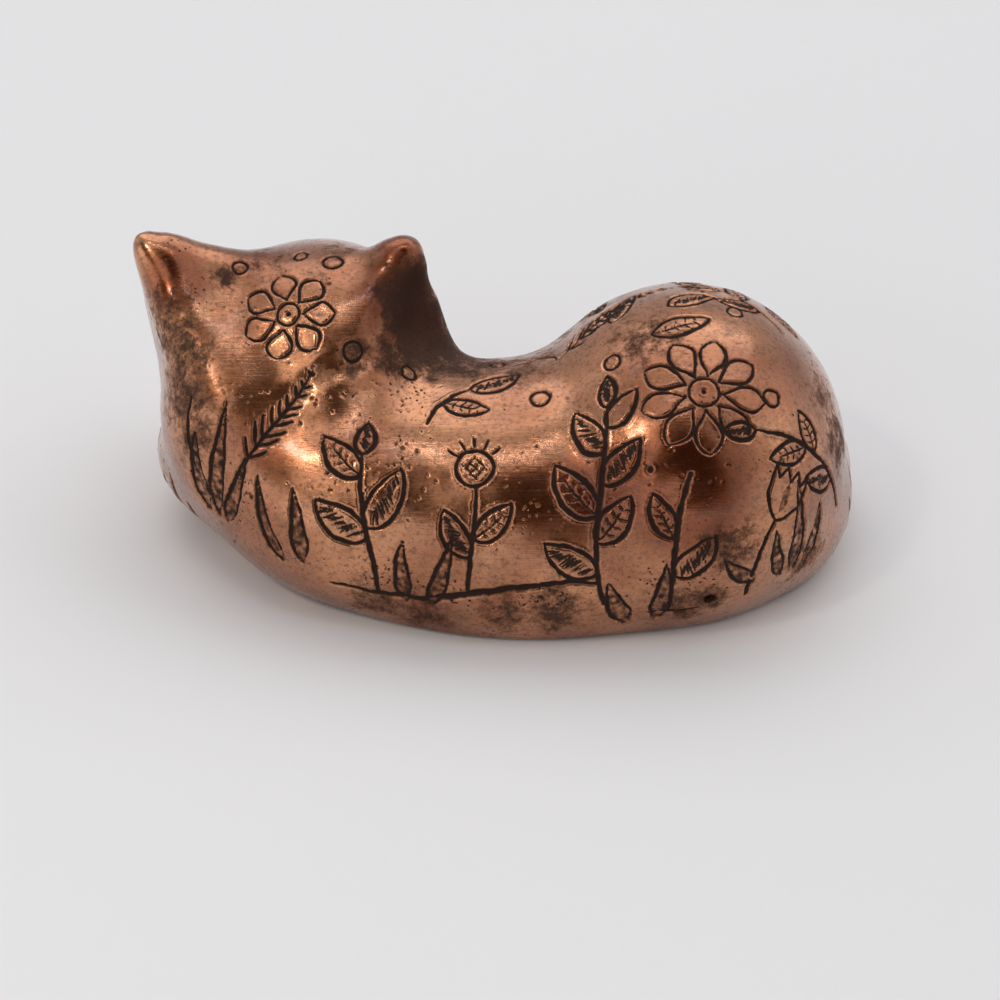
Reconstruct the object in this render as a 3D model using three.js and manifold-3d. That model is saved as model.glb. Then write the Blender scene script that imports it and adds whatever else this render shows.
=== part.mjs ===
// A cast copper cat figurine. The cat lies curled, and its head looks into the curl.
// The hollow casting is closed by a sheet plate in a rebate of its foot, with a felt pad glued under the plate.
//
// Millimetres, +Z up. X runs along the back, from the head at -X to the rump at +X.
// The spine bows out to -Y, and the face, the paws and the tail are on the +Y side, inside the curl.
// The form is one field of blended lumps: its value is the distance to the skin, and negative inside.

import * as THREE from "three";
import Module from "manifold-3d";
import { mergeVertices } from "three/addons/utils/BufferGeometryUtils.js";

const wasm = await Module();
wasm.setup();

// The trunk's lumps. Heights are above the foot of the casting.
const loaf = { x: 5.4, y: -2.8, z: 8, halfLength: 36, halfDepth: 21.3, halfHeight: 19.6 };
const rump = { x: 26.1, y: 2, z: 13.3, halfLength: 22.4, halfDepth: 25, halfHeight: 22.6 };
const shoulder = { x: -18.8, y: -0.7, z: 11.4, halfLength: 21, halfDepth: 18.6, halfHeight: 16 };
const neck = { x: -33, y: 2.6, z: 18, halfLength: 12.6, halfDepth: 12, halfHeight: 12 };
const chest = { x: -32.3, y: 9, z: 8.8, halfLength: 15.3, halfDepth: 14.4, halfHeight: 10.6 };
const lap = { x: 3, y: 8, z: 1, halfLength: 41.5, halfDepth: 21.7, halfHeight: 9 };
const thigh = { x: 15, y: 16.5, z: 10, halfLength: 14.5, halfDepth: 10.5, halfHeight: 10.5 };
const trunkBlend = 8;
const haunchBlend = 4;
const thighBlend = 2.5;

// The haunch and the root of the tail are placed from the end of the rump.
const rumpEnd = rump.x + rump.halfLength;
const haunchInset = 12.6;
const haunch = { x: rumpEnd - haunchInset, y: 2.5, z: 6.6, halfLength: 13.9, halfDepth: 18.4, halfHeight: 12.5 };

// The head's lumps. The face parts are measured from the middle of the skull, and spread to both sides of the face.
const skull = { x: -24.5, y: 12.2, z: 22.9, halfLength: 16.6, halfDepth: 16, halfHeight: 15.8 };
const faceX = -3;
const bridge = { spread: 0, y: 11, z: -1.5, halfLength: 4.5, halfDepth: 6.5, halfHeight: 6.5 };
const muzzle = { spread: 3, y: 13.8, z: -5.8, halfLength: 5, halfDepth: 6, halfHeight: 4.6 };
const chin = { spread: 0, y: 12.6, z: -9.6, halfLength: 4.6, halfDepth: 5, halfHeight: 3.8 };
const cheek = { spread: 8.5, y: 6.5, z: -6.5, halfLength: 8, halfDepth: 8.5, halfHeight: 7.5 };
const headBlend = 7;
const cheekBlend = 6;
const faceBlend = 2.8;
const muzzleBlend = 1.4;

// Each ear has three ridges that run down from its tip: in to the crown, back to the nape, out to the cheek.
// Bars of a slighter radius run down between them and make its faces, and a core fills it.
// The web that joins the bars is narrow at the tip.
// The left ear is the one at -X. The points are measured from the middle of the skull.
const leftEar = {
  tip: [-22.6, 1, 17],
  crown: [-11, 0.6, 9.8],
  nape: [-11.5, -12.2, 1.1],
  cheek: [-16.2, -0.2, -2.9],
};
const rightEar = {
  tip: [12.5, -1, 17.4],
  crown: [4.6, -0.1, 9],
  nape: [2.5, -12.2, 2.1],
  cheek: [13.4, -2.4, -1.9],
};
const earTipRadius = 2.1;
const earRootRadius = 5.5;
const earFaceRadius = 5.2;
const earFaceBars = 2;
const earCoreRadius = 7;
const earLength = 16;
const earTipWeb = 0.15;
const earRootWeb = 4;
const earBlend = 6;

// The limbs lie along the foot, inside the curl. The tail wraps from the haunch round to the front paws.
const leftPaw = { x: -34.5, y: 21.5, z: 3.2, halfLength: 5.6, halfDepth: 9, halfHeight: 5.2 };
const rightPaw = { x: -23, y: 22.5, z: 3.2, halfLength: 5.6, halfDepth: 9, halfHeight: 5.2 };
const hindPaw = { x: 7, y: 21.6, z: 4.4, halfLength: 13, halfDepth: 5.4, halfHeight: 5 };
const limbBlend = 2.5;
const tailInset = 5;
const tailBend = 9.5;
const tailPath = [
  [rumpEnd - tailInset, 7, 7],
  [rumpEnd - tailBend, 18, 6.2],
  [27, 25.5, 5.4],
  [12, 27.5, 5],
  [0, 28, 4.8],
  [-11, 27, 5],
];
const tailRootRadius = 6.5;
const tailTipRadius = 3.6;
const tailSpans = 16;
const tailBlend = 3;

// The casting's wall, and the rebate in its foot that the plate sits in.
const footLip = 1.5;
const ledge = 1.6;
const wall = footLip + ledge;
const fitGap = 0.3;
const plateThickness = 1.2;
const feltThickness = 1;
const feltProud = 0.5;
const feltSetback = 0.5;

// The vent hole through the wall, low on the outside of the rump.
const ventFromRump = 2.6;
const ventHeight = 7.2;
const ventRadius = 0.95;
const ventDrill = 12.4;
const ventFacets = 20;

// How finely the skin is divided: fine over the head, coarser over the rump, coarsest inside.
const fineCell = 1.75;
const depthCell = 1.925;
const coarseCell = 2.5;
const hollowCell = 3.6;
const relaxRounds = 6;
const outlineSteps = 120;

// The room round the form that the lattice and the cuts go out to.
const margin = 4;

// What the searches and the welding treat as nothing.
const probe = 0.01;
const weld = 0.00001;
const leastSlope = 0.1;
const settleSteps = 4;
const halvings = 40;

const axes = [
  { place: "x", half: "halfLength" },
  { place: "y", half: "halfDepth" },
  { place: "z", half: "halfHeight" },
];

// About the distance to an ellipsoid.
function ellipsoid(p, lump) {
  const x = p[0] - lump.x;
  const y = p[1] - lump.y;
  const z = p[2] - lump.z;
  const scaled = Math.hypot(x / lump.halfLength, y / lump.halfDepth, z / lump.halfHeight);
  const slope = Math.hypot(x / lump.halfLength ** 2, y / lump.halfDepth ** 2, z / lump.halfHeight ** 2);
  if (slope === 0) {
    return -Math.min(lump.halfLength, lump.halfDepth, lump.halfHeight);
  }
  return (scaled * (scaled - 1)) / slope;
}

// The distance to a round bar from a to b, whose radius grows from ra to rb.
function taperedBar(p, a, b, ra, rb) {
  const u = [b[0] - a[0], b[1] - a[1], b[2] - a[2]];
  const v = [p[0] - a[0], p[1] - a[1], p[2] - a[2]];
  const along = (v[0] * u[0] + v[1] * u[1] + v[2] * u[2]) / (u[0] * u[0] + u[1] * u[1] + u[2] * u[2]);
  const t = Math.min(1, Math.max(0, along));
  return Math.hypot(v[0] - t * u[0], v[1] - t * u[1], v[2] - t * u[2]) - ra - t * (rb - ra);
}

// Joins two lumps with a fillet of about the given width. It is a cubic smooth minimum.
function blend(a, b, width) {
  const near = Math.max(width - Math.abs(a - b), 0) / width;
  return Math.min(a, b) - (near ** 3 * width) / 6;
}

function apart(a, b) {
  return Math.hypot(a[0] - b[0], a[1] - b[1], a[2] - b[2]);
}

function fromSkull(offset) {
  return [skull.x + offset[0], skull.y + offset[1], skull.z + offset[2]];
}

function ear(p, points) {
  const tip = fromSkull(points.tip);
  const ridge = (end, radius) => taperedBar(p, tip, fromSkull(end), earTipRadius, radius);
  const middle = points.crown.map((_, axis) => (points.crown[axis] + points.nape[axis] + points.cheek[axis]) / 3);
  const web = THREE.MathUtils.clamp((earRootWeb * apart(p, tip)) / earLength, earTipWeb, earRootWeb);
  let d = ridge(middle, earCoreRadius);
  for (const [end, next] of [[points.crown, points.nape], [points.nape, points.cheek], [points.cheek, points.crown]]) {
    d = blend(d, ridge(end, earRootRadius), web);
    for (let n = 1; n <= earFaceBars; n++) {
      const share = n / (earFaceBars + 1);
      const between = end.map((v, axis) => v + (next[axis] - v) * share);
      d = blend(d, ridge(between, earFaceRadius), web);
    }
  }
  return d;
}

// One lump of the face, at one side of its middle plane.
function faceLump(p, lump, side) {
  return ellipsoid(p, {
    ...lump,
    x: skull.x + faceX + side * lump.spread,
    y: skull.y + lump.y,
    z: skull.z + lump.z,
  });
}

function head(p) {
  let d = ellipsoid(p, skull);
  for (const side of [-1, 1]) {
    d = blend(d, faceLump(p, cheek, side), cheekBlend);
  }
  d = blend(d, faceLump(p, bridge, 0), cheekBlend);
  d = blend(d, faceLump(p, chin, 0), faceBlend);
  d = blend(d, blend(faceLump(p, muzzle, -1), faceLump(p, muzzle, 1), muzzleBlend), faceBlend);
  d = blend(d, ear(p, leftEar), earBlend);
  return blend(d, ear(p, rightEar), earBlend);
}

const tailPoints = new THREE.CatmullRomCurve3(tailPath.map((at) => new THREE.Vector3(...at)))
  .getPoints(tailSpans)
  .map((at) => at.toArray());

function tail(p) {
  const radius = (n) => tailRootRadius + ((tailTipRadius - tailRootRadius) * n) / tailSpans;
  let d = Infinity;
  for (let n = 0; n < tailSpans; n++) {
    d = Math.min(d, taperedBar(p, tailPoints[n], tailPoints[n + 1], radius(n), radius(n + 1)));
  }
  return d;
}

function trunk(p) {
  let d = blend(ellipsoid(p, loaf), ellipsoid(p, rump), trunkBlend);
  d = blend(d, ellipsoid(p, shoulder), trunkBlend);
  d = blend(d, ellipsoid(p, chest), trunkBlend);
  d = blend(d, ellipsoid(p, haunch), haunchBlend);
  d = blend(d, ellipsoid(p, neck), trunkBlend);
  return blend(d, ellipsoid(p, lap), haunchBlend);
}

// The core that leaves the casting hollow follows the trunk and the skull, a wall inside them.
function core(p) {
  return blend(trunk(p), ellipsoid(p, skull), headBlend) + wall;
}

function cat(p) {
  let d = trunk(p);
  d = blend(d, ellipsoid(p, thigh), thighBlend);
  d = blend(d, head(p), headBlend);
  for (const limb of [leftPaw, rightPaw, hindPaw]) {
    d = blend(d, ellipsoid(p, limb), limbBlend);
  }
  return blend(d, tail(p), tailBlend);
}

// The form as it is skinned: it goes on below the foot, where the flat cut takes it off.
function castForm(p) {
  return Math.max(cat(p), -margin - p[2]);
}

// How far the lumps, the ear tips and the tail reach along one axis, to its low side (-1) or its high side (1).
function extent(axis, side) {
  const { place, half } = axes[axis];
  const lumps = [loaf, rump, haunch, shoulder, neck, chest, lap, thigh, skull, leftPaw, rightPaw, hindPaw];
  const ends = lumps.map((lump) => side * lump[place] + lump[half]);
  for (const points of [leftEar, rightEar]) {
    ends.push(side * fromSkull(points.tip)[axis] + earTipRadius);
  }
  for (const at of tailPath) {
    ends.push(side * at[axis] + tailRootRadius);
  }
  return side * Math.max(...ends);
}

// The lattice lines along one axis, with a step that grows from one place to another.
function latticeLines(low, high, firstStep, lastStep, growFrom, growTo) {
  const lines = [low];
  while (lines[lines.length - 1] < high) {
    const at = lines[lines.length - 1];
    const grown = THREE.MathUtils.smoothstep(at, growFrom, growTo);
    lines.push(at + firstStep + (lastStep - firstStep) * grown);
  }
  return lines;
}

function evenLines(low, high, step) {
  return latticeLines(low, high, step, step, low, high);
}

function slopeOf(field, p) {
  return [0, 1, 2].map((axis) => {
    const ahead = [...p];
    const behind = [...p];
    ahead[axis] += probe;
    behind[axis] -= probe;
    return (field(ahead) - field(behind)) / (2 * probe);
  });
}

// Walks a point along the field's slope onto the skin, no further than the reach.
function settle(field, start, reach) {
  let p = [...start];
  for (let n = 0; n < settleSteps; n++) {
    const slope = slopeOf(field, p);
    const steep = Math.max(slope[0] ** 2 + slope[1] ** 2 + slope[2] ** 2, leastSlope);
    const step = field(p) / steep;
    p = p.map((v, axis) => THREE.MathUtils.clamp(v - step * slope[axis], start[axis] - reach, start[axis] + reach));
  }
  return p;
}

// A lattice face that has its inside corners on one diagonal would pinch the skin.
// The corner that is nearest the skin changes sides there.
function unpinch(value, counts) {
  const strides = [1, counts[0], counts[0] * counts[1]];
  let pinched = true;
  while (pinched) {
    pinched = false;
    for (const [u, v, w] of [[0, 1, 2], [0, 2, 1], [1, 2, 0]]) {
      for (let c = 0; c < counts[w]; c++) {
        for (let b = 0; b < counts[v] - 1; b++) {
          for (let a = 0; a < counts[u] - 1; a++) {
            const first = a * strides[u] + b * strides[v] + c * strides[w];
            const face = [first, first + strides[u], first + strides[u] + strides[v], first + strides[v]];
            const inside = face.map((n) => value[n] < 0);
            if (inside[0] === inside[2] && inside[1] === inside[3] && inside[0] !== inside[1]) {
              const nearest = face.reduce((m, n) => (Math.abs(value[n]) < Math.abs(value[m]) ? n : m));
              value[nearest] = value[nearest] < 0 ? Number.EPSILON : -Number.EPSILON;
              pinched = true;
            }
          }
        }
      }
    }
  }
}

// Covers a field with quads: one point in each lattice cell that the skin crosses,
// and one quad round each lattice edge that it crosses. Then the points are evened out along the skin.
function skin(field, xs, ys, zs) {
  const key = (i, j, k) => (k * ys.length + j) * xs.length + i;
  const value = new Float64Array(xs.length * ys.length * zs.length);
  for (let k = 0; k < zs.length; k++) {
    for (let j = 0; j < ys.length; j++) {
      for (let i = 0; i < xs.length; i++) {
        value[key(i, j, k)] = field([xs[i], ys[j], zs[k]]);
      }
    }
  }
  unpinch(value, [xs.length, ys.length, zs.length]);
  const inside = (i, j, k) => value[key(i, j, k)] < 0;
  const middle = (lines, n) => (lines[n] + lines[n + 1]) / 2;
  let points = [];
  const pointOf = new Map();
  for (let k = 0; k < zs.length - 1; k++) {
    for (let j = 0; j < ys.length - 1; j++) {
      for (let i = 0; i < xs.length - 1; i++) {
        let corners = 0;
        for (let c = 0; c < 8; c++) {
          corners += inside(i + (c & 1), j + ((c >> 1) & 1), k + (c >> 2));
        }
        if (corners > 0 && corners < 8) {
          pointOf.set(key(i, j, k), points.length);
          points.push(settle(field, [middle(xs, i), middle(ys, j), middle(zs, k)], (xs[i + 1] - xs[i]) / 2));
        }
      }
    }
  }
  const quads = [];
  const addQuad = (cells, flipped) => {
    const quad = cells.map(([i, j, k]) => pointOf.get(key(i, j, k)));
    quads.push(flipped ? quad.reverse() : quad);
  };
  for (let k = 1; k < zs.length - 1; k++) {
    for (let j = 1; j < ys.length - 1; j++) {
      for (let i = 1; i < xs.length - 1; i++) {
        const here = inside(i, j, k);
        if (here !== inside(i + 1, j, k)) {
          addQuad([[i, j - 1, k - 1], [i, j, k - 1], [i, j, k], [i, j - 1, k]], !here);
        }
        if (here !== inside(i, j + 1, k)) {
          addQuad([[i - 1, j, k - 1], [i - 1, j, k], [i, j, k], [i, j, k - 1]], !here);
        }
        if (here !== inside(i, j, k + 1)) {
          addQuad([[i - 1, j - 1, k], [i, j - 1, k], [i, j, k], [i - 1, j, k]], !here);
        }
      }
    }
  }
  const neighbours = points.map(() => new Set());
  for (const quad of quads) {
    quad.forEach((a, n) => {
      const b = quad[(n + 1) % 4];
      neighbours[a].add(b);
      neighbours[b].add(a);
    });
  }
  for (let round = 0; round < relaxRounds; round++) {
    points = points.map((p, n) => {
      const around = [...neighbours[n]];
      const mean = p.map((_, axis) => around.reduce((sum, m) => sum + points[m][axis], 0) / around.length);
      return settle(field, mean, fineCell);
    });
  }
  return solidOf(points, quads);
}

// Each quad is split along its shorter diagonal.
function solidOf(points, quads) {
  const faces = [];
  for (const [a, b, c, d] of quads) {
    if (apart(points[a], points[c]) <= apart(points[b], points[d])) {
      faces.push(a, b, c, a, c, d);
    } else {
      faces.push(b, c, d, b, d, a);
    }
  }
  return new wasm.Manifold(
    new wasm.Mesh({
      numProp: 3,
      vertProperties: new Float32Array(points.flat()),
      triVerts: new Uint32Array(faces),
    }),
  );
}

function solidOfGeometry(geometry) {
  const bare = geometry.clone();
  bare.deleteAttribute("normal");
  bare.deleteAttribute("uv");
  const merged = mergeVertices(bare, weld);
  return new wasm.Manifold(
    new wasm.Mesh({
      numProp: 3,
      vertProperties: new Float32Array(merged.attributes.position.array),
      triVerts: new Uint32Array(merged.index.array),
    }),
  );
}

function geometryOf(solid) {
  const mesh = solid.getMesh();
  const geometry = new THREE.BufferGeometry();
  geometry.setAttribute("position", new THREE.Float32BufferAttribute(mesh.vertProperties, 3));
  geometry.setIndex([...mesh.triVerts]);
  const flat = geometry.toNonIndexed();
  flat.computeVertexNormals();
  return flat;
}

// The distance along a ray at which the test turns from true to false.
function turnOf(test) {
  let near = 0;
  let far = margin;
  while (test(far)) {
    far *= 2;
  }
  for (let n = 0; n < halvings; n++) {
    const half = (near + far) / 2;
    if (test(half)) {
      near = half;
    } else {
      far = half;
    }
  }
  return near;
}

// The trunk's outline at the foot, the given distance inside its edge, found along rays from its middle.
// The paws and the tail stand outside it.
function footOutline(inset) {
  const outline = [];
  for (let n = 0; n < outlineSteps; n++) {
    const angle = (2 * Math.PI * n) / outlineSteps;
    const at = (r) => [loaf.x + r * Math.cos(angle), (loaf.y + lap.y) / 2 + r * Math.sin(angle), 0];
    const edge = at(turnOf((r) => trunk(at(r)) < -inset));
    outline.push(new THREE.Vector2(edge[0], edge[1]));
  }
  return outline;
}

// A flat slab over an outline, from one height to another.
function slab(outline, bottom, top) {
  const geometry = new THREE.ExtrudeGeometry(new THREE.Shape(outline), { depth: top - bottom, bevelEnabled: false });
  return geometry.translate(0, 0, bottom);
}

const feltTop = feltThickness - feltProud;
const plateBottom = feltTop + fitGap;
const plateTop = plateBottom + plateThickness;
const rebateTop = plateTop + fitGap;

// The hole's bar stands square to the skin, with its middle at the hole's mouth.
function ventHole() {
  const at = (r) => [rump.x + ventFromRump, rump.y - r, ventHeight];
  const mouth = at(turnOf((r) => cat(at(r)) < 0));
  const out = new THREE.Vector3(...slopeOf(cat, mouth)).normalize();
  const bar = new THREE.CylinderGeometry(ventRadius, ventRadius, ventDrill, ventFacets);
  bar.applyQuaternion(new THREE.Quaternion().setFromUnitVectors(new THREE.Vector3(0, 1, 0), out));
  return bar.translate(...mouth);
}

function castCat() {
  const low = [0, 1, 2].map((axis) => extent(axis, -1) - margin);
  const high = [0, 1, 2].map((axis) => extent(axis, 1) + margin);
  const outer = skin(
    castForm,
    latticeLines(low[0], high[0], fineCell, coarseCell, skull.x, rump.x),
    evenLines(low[1], high[1], depthCell),
    latticeLines(-2 * margin, high[2], coarseCell, fineCell, 0, skull.z),
  );
  const inner = skin(
    core,
    evenLines(low[0], high[0], hollowCell),
    evenLines(low[1], high[1], hollowCell),
    evenLines(low[2], high[2], hollowCell),
  );
  const below = new THREE.BoxGeometry(2 * (high[0] - low[0]), 2 * (high[1] - low[1]), 2 * margin);
  const rebate = slab(footOutline(footLip), -margin, rebateTop);
  const solid = outer
    .subtract(solidOfGeometry(below.translate(0, 0, -margin)))
    .subtract(inner)
    .subtract(solidOfGeometry(rebate))
    .subtract(solidOfGeometry(ventHole()));
  return geometryOf(solid);
}

const copper = new THREE.MeshStandardMaterial({ name: "copper", color: 0xa5623c, metalness: 1, roughness: 0.3 });
const sheet = new THREE.MeshStandardMaterial({ name: "sheet", color: 0x9c6038, metalness: 1, roughness: 0.45 });
const felt = new THREE.MeshStandardMaterial({ name: "felt", color: 0x2d2b29, metalness: 0, roughness: 1 });

function named(name, geometry, material) {
  const mesh = new THREE.Mesh(geometry, material);
  mesh.name = name;
  return mesh;
}

const plateInset = footLip + fitGap;
const feltInset = plateInset + feltSetback;

const figurine = new THREE.Group();
figurine.add(named("cat_casting", castCat(), copper));
figurine.add(named("base_plate", slab(footOutline(plateInset), plateBottom, plateTop), sheet));
figurine.add(named("felt_pad", slab(footOutline(feltInset), -feltProud, feltTop), felt));

// The figurine stands on z = 0, over the origin.
const box = new THREE.Box3().setFromObject(figurine);
figurine.position.set(-(box.min.x + box.max.x) / 2, -(box.min.y + box.max.y) / 2, -box.min.z);

export default figurine;
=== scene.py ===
import math
import random

import bpy
import numpy as np
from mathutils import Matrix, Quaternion, Vector, kdtree, noise
from mathutils.bvhtree import BVHTree
from mathutils.interpolate import poly_3d_calc


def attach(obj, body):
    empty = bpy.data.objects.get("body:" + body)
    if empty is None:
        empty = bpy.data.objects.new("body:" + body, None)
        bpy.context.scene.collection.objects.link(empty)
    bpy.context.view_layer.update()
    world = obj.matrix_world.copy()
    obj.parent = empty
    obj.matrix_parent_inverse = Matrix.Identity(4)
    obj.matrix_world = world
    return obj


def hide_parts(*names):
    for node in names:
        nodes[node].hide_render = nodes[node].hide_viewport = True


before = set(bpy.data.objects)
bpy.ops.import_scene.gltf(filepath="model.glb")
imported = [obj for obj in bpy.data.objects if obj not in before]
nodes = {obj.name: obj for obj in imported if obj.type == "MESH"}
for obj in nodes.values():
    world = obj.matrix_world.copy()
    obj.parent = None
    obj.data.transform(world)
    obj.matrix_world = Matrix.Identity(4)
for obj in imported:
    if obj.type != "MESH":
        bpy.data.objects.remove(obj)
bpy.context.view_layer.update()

# Sizes are in millimetres and become metres when a mesh is written.
MM = 0.001

# The casting's form is a field of blended lumps, as in the part's source, measured from SHIFT.
# Only its ears are a little fuller here. Each lump has its middle and its half sizes.
SHIFT = np.array([-0.3894, -4.1231, 0.5])
LOAF = ((5.4, -2.8, 8.0), (36.0, 21.3, 19.6))
RUMP = ((26.1, 2.0, 13.3), (22.4, 25.0, 22.6))
HAUNCH = ((35.9, 2.5, 6.6), (13.9, 18.4, 12.5))
SHOULDER = ((-18.8, -0.7, 11.4), (21.0, 18.6, 16.0))
NECK = ((-33.0, 2.6, 18.0), (12.6, 12.0, 12.0))
CHEST = ((-32.3, 9.0, 8.8), (15.3, 14.4, 10.6))
LAP = ((3.0, 8.0, 1.0), (41.5, 21.7, 9.0))
THIGH = ((15.0, 16.5, 10.0), (14.5, 10.5, 10.5))
SKULL = ((-24.5, 12.2, 22.9), (16.6, 16.0, 15.8))
FACE_MIDDLE = -27.5
CHEEKS = [((FACE_MIDDLE + side * 8.5, 18.7, 16.4), (8.0, 8.5, 7.5)) for side in (-1, 1)]
BRIDGE = ((FACE_MIDDLE, 23.2, 21.4), (4.5, 6.5, 6.5))
CHIN = ((FACE_MIDDLE, 24.8, 13.3), (4.6, 5.0, 3.8))
MUZZLE = [((FACE_MIDDLE + side * 3.0, 26.0, 17.1), (5.0, 6.0, 4.6)) for side in (-1, 1)]
FRONT_PAWS = [((-34.5, 21.5, 3.2), (5.6, 9.0, 5.2)), ((-23.0, 22.5, 3.2), (5.6, 9.0, 5.2))]
HIND_PAW = ((7.0, 21.6, 4.4), (13.0, 5.4, 5.0))

# How wide the lumps blend where they join.
TRUNK_BLEND, HAUNCH_BLEND, THIGH_BLEND = 8.0, 4.0, 2.5
HEAD_BLEND, CHEEK_BLEND, FACE_BLEND, MUZZLE_BLEND = 7.0, 6.0, 2.8, 1.4
EAR_BLEND, TIP_BLEND, LIMB_BLEND, TAIL_BLEND = 6.0, 2.5, 2.5, 3.0

# Each ear: its tip, then the ends of its three ridges at the crown, the nape and the cheek.
LEFT_EAR = ((-47.1, 13.2, 39.9), (-35.5, 12.8, 32.7), (-36.0, 0.0, 24.0), (-40.7, 12.0, 20.0))
RIGHT_EAR = ((-12.0, 11.2, 40.3), (-19.9, 12.1, 31.9), (-22.0, 0.0, 25.0), (-11.1, 9.8, 21.0))

# A ball below each tip fills the ridge there out: its middle and its radius.
LEFT_FULL = ((-43.8, 12.9, 38.2), 3.4)
RIGHT_FULL = ((-13.6, 11.3, 38.5), 3.2)

# The radii of an ear's bars at the tip and at the other end, and of its core there.
EAR_TIP, EAR_ROOT, EAR_CORE = 2.4, 5.7, 7.0
# The web that joins an ear's bars widens down the ear.
EAR_LENGTH, TIP_WEB, ROOT_WEB = 16.0, 0.05, 4.0

# The tail's middle line bends through these points, from the haunch to the front paws.
TAIL_PATH = (
    (43.5, 7.0, 7.0), (39.0, 18.0, 6.2), (27.0, 25.5, 5.4),
    (12.0, 27.5, 5.0), (0.0, 28.0, 4.8), (-11.0, 27.0, 5.0),
)
TAIL_ROOT, TAIL_TIP = 6.5, 3.6
TAIL_SPANS = 16

# The vent hole's mouth, its radius with the edge's, and how near its middle nothing is cut.
VENT = Vector((28.31, -26.47, 7.7))
VENT_RADIUS, VENT_CLEAR = 1.1, 2.0
# The height of the casting's foot, and how near it nothing is cut.
FOOT, FOOT_CLEAR = 0.5, 1.2


def ellipsoid(p, lump):
    from_middle, half = p - np.array(lump[0]), np.array(lump[1])
    scaled = np.linalg.norm(from_middle / half, axis=1)
    slope = np.linalg.norm(from_middle / half**2, axis=1)
    return scaled * (scaled - 1) / np.maximum(slope, 1e-9)


def tapered_bar(p, start, end, start_radius, end_radius):
    start, end = np.array(start), np.array(end)
    line = end - start
    share = np.clip((p - start) @ line / (line @ line), 0, 1)
    across = np.linalg.norm(p - start - share[:, None] * line, axis=1)
    return across - start_radius - share * (end_radius - start_radius)


def blend(a, b, width):
    near = np.maximum(width - np.abs(a - b), 0) / width
    return np.minimum(a, b) - near**3 * width / 6


def ear_form(p, ear, full):
    tip, ends = ear[0], [np.array(end) for end in ear[1:]]
    away = np.linalg.norm(p - np.array(tip), axis=1) - EAR_TIP
    web = np.clip(ROOT_WEB * away / EAR_LENGTH, TIP_WEB, ROOT_WEB)
    form = tapered_bar(p, tip, np.mean(ends, axis=0), EAR_TIP, EAR_CORE)
    for end, after in zip(ends, ends[1:] + ends[:1]):
        for share in (0, 1 / 3, 2 / 3):
            form = blend(form, tapered_bar(p, tip, end + (after - end) * share, EAR_TIP, EAR_ROOT), web)
    return blend(form, np.linalg.norm(p - np.array(full[0]), axis=1) - full[1], TIP_BLEND)


def head_form(p):
    form = ellipsoid(p, SKULL)
    for cheek in CHEEKS:
        form = blend(form, ellipsoid(p, cheek), CHEEK_BLEND)
    form = blend(form, ellipsoid(p, BRIDGE), CHEEK_BLEND)
    form = blend(form, ellipsoid(p, CHIN), FACE_BLEND)
    form = blend(form, blend(ellipsoid(p, MUZZLE[0]), ellipsoid(p, MUZZLE[1]), MUZZLE_BLEND), FACE_BLEND)
    form = blend(form, near_only(ear_form, p, p[:, 0] < -12, LEFT_EAR, LEFT_FULL), EAR_BLEND)
    return blend(form, near_only(ear_form, p, p[:, 0] > -48, RIGHT_EAR, RIGHT_FULL), EAR_BLEND)


def near_only(form, p, near, *given):
    """A lump's form where it can matter, and a far distance elsewhere."""
    result = np.full(len(p), 99.0)
    if near.any():
        result[near] = form(p[near], *given)
    return result


def smooth_path(through, spans):
    """Points on a centripetal Catmull-Rom curve through the given ones, as many spans apart as asked for."""
    through = [np.array(point) for point in through]
    through = [2 * through[0] - through[1], *through, 2 * through[-1] - through[-2]]
    curve = []
    for n in range(spans + 1):
        way = n / spans * (len(through) - 3)
        first = min(int(way), len(through) - 4)
        a, b, c, d = through[first:first + 4]
        t = way - first
        ab, bc, cd = (math.sqrt(np.linalg.norm(end - start)) for start, end in ((a, b), (b, c), (c, d)))
        leave = ((b - a) / ab - (c - a) / (ab + bc) + (c - b) / bc) * bc
        arrive = ((c - b) / bc - (d - b) / (bc + cd) + (d - c) / cd) * bc
        place = b + leave * t + (3 * (c - b) - 2 * leave - arrive) * t**2
        curve.append(place + (2 * (b - c) + leave + arrive) * t**3)
    return curve


TAIL = smooth_path(TAIL_PATH, TAIL_SPANS)


def tail_form(p):
    radius = np.linspace(TAIL_ROOT, TAIL_TIP, TAIL_SPANS + 1)
    bars = [tapered_bar(p, TAIL[n], TAIL[n + 1], radius[n], radius[n + 1]) for n in range(TAIL_SPANS)]
    return np.min(bars, axis=0)


def field(points):
    """The distance to the cat's skin, negative inside."""
    p = points - SHIFT
    form = blend(ellipsoid(p, LOAF), ellipsoid(p, RUMP), TRUNK_BLEND)
    form = blend(form, ellipsoid(p, SHOULDER), TRUNK_BLEND)
    form = blend(form, ellipsoid(p, CHEST), TRUNK_BLEND)
    form = blend(form, ellipsoid(p, HAUNCH), HAUNCH_BLEND)
    form = blend(form, ellipsoid(p, NECK), TRUNK_BLEND)
    form = blend(form, ellipsoid(p, LAP), HAUNCH_BLEND)
    form = blend(form, ellipsoid(p, THIGH), THIGH_BLEND)
    form = blend(form, near_only(head_form, p, p[:, 0] < 12), HEAD_BLEND)
    for limb in (*FRONT_PAWS, HIND_PAW):
        form = blend(form, ellipsoid(p, limb), LIMB_BLEND)
    return blend(form, near_only(tail_form, p, (p[:, 2] < 20) & (p[:, 1] > -8)), TAIL_BLEND)


# Over how far the field's slope is measured.
SLOPE_REACH = 0.02


def steps_along(reach):
    return np.eye(3) * reach


def slope_of(points):
    columns = []
    for step in steps_along(SLOPE_REACH):
        columns.append((field(points + step) - field(points - step)) / (2 * SLOPE_REACH))
    return np.column_stack(columns)


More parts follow.
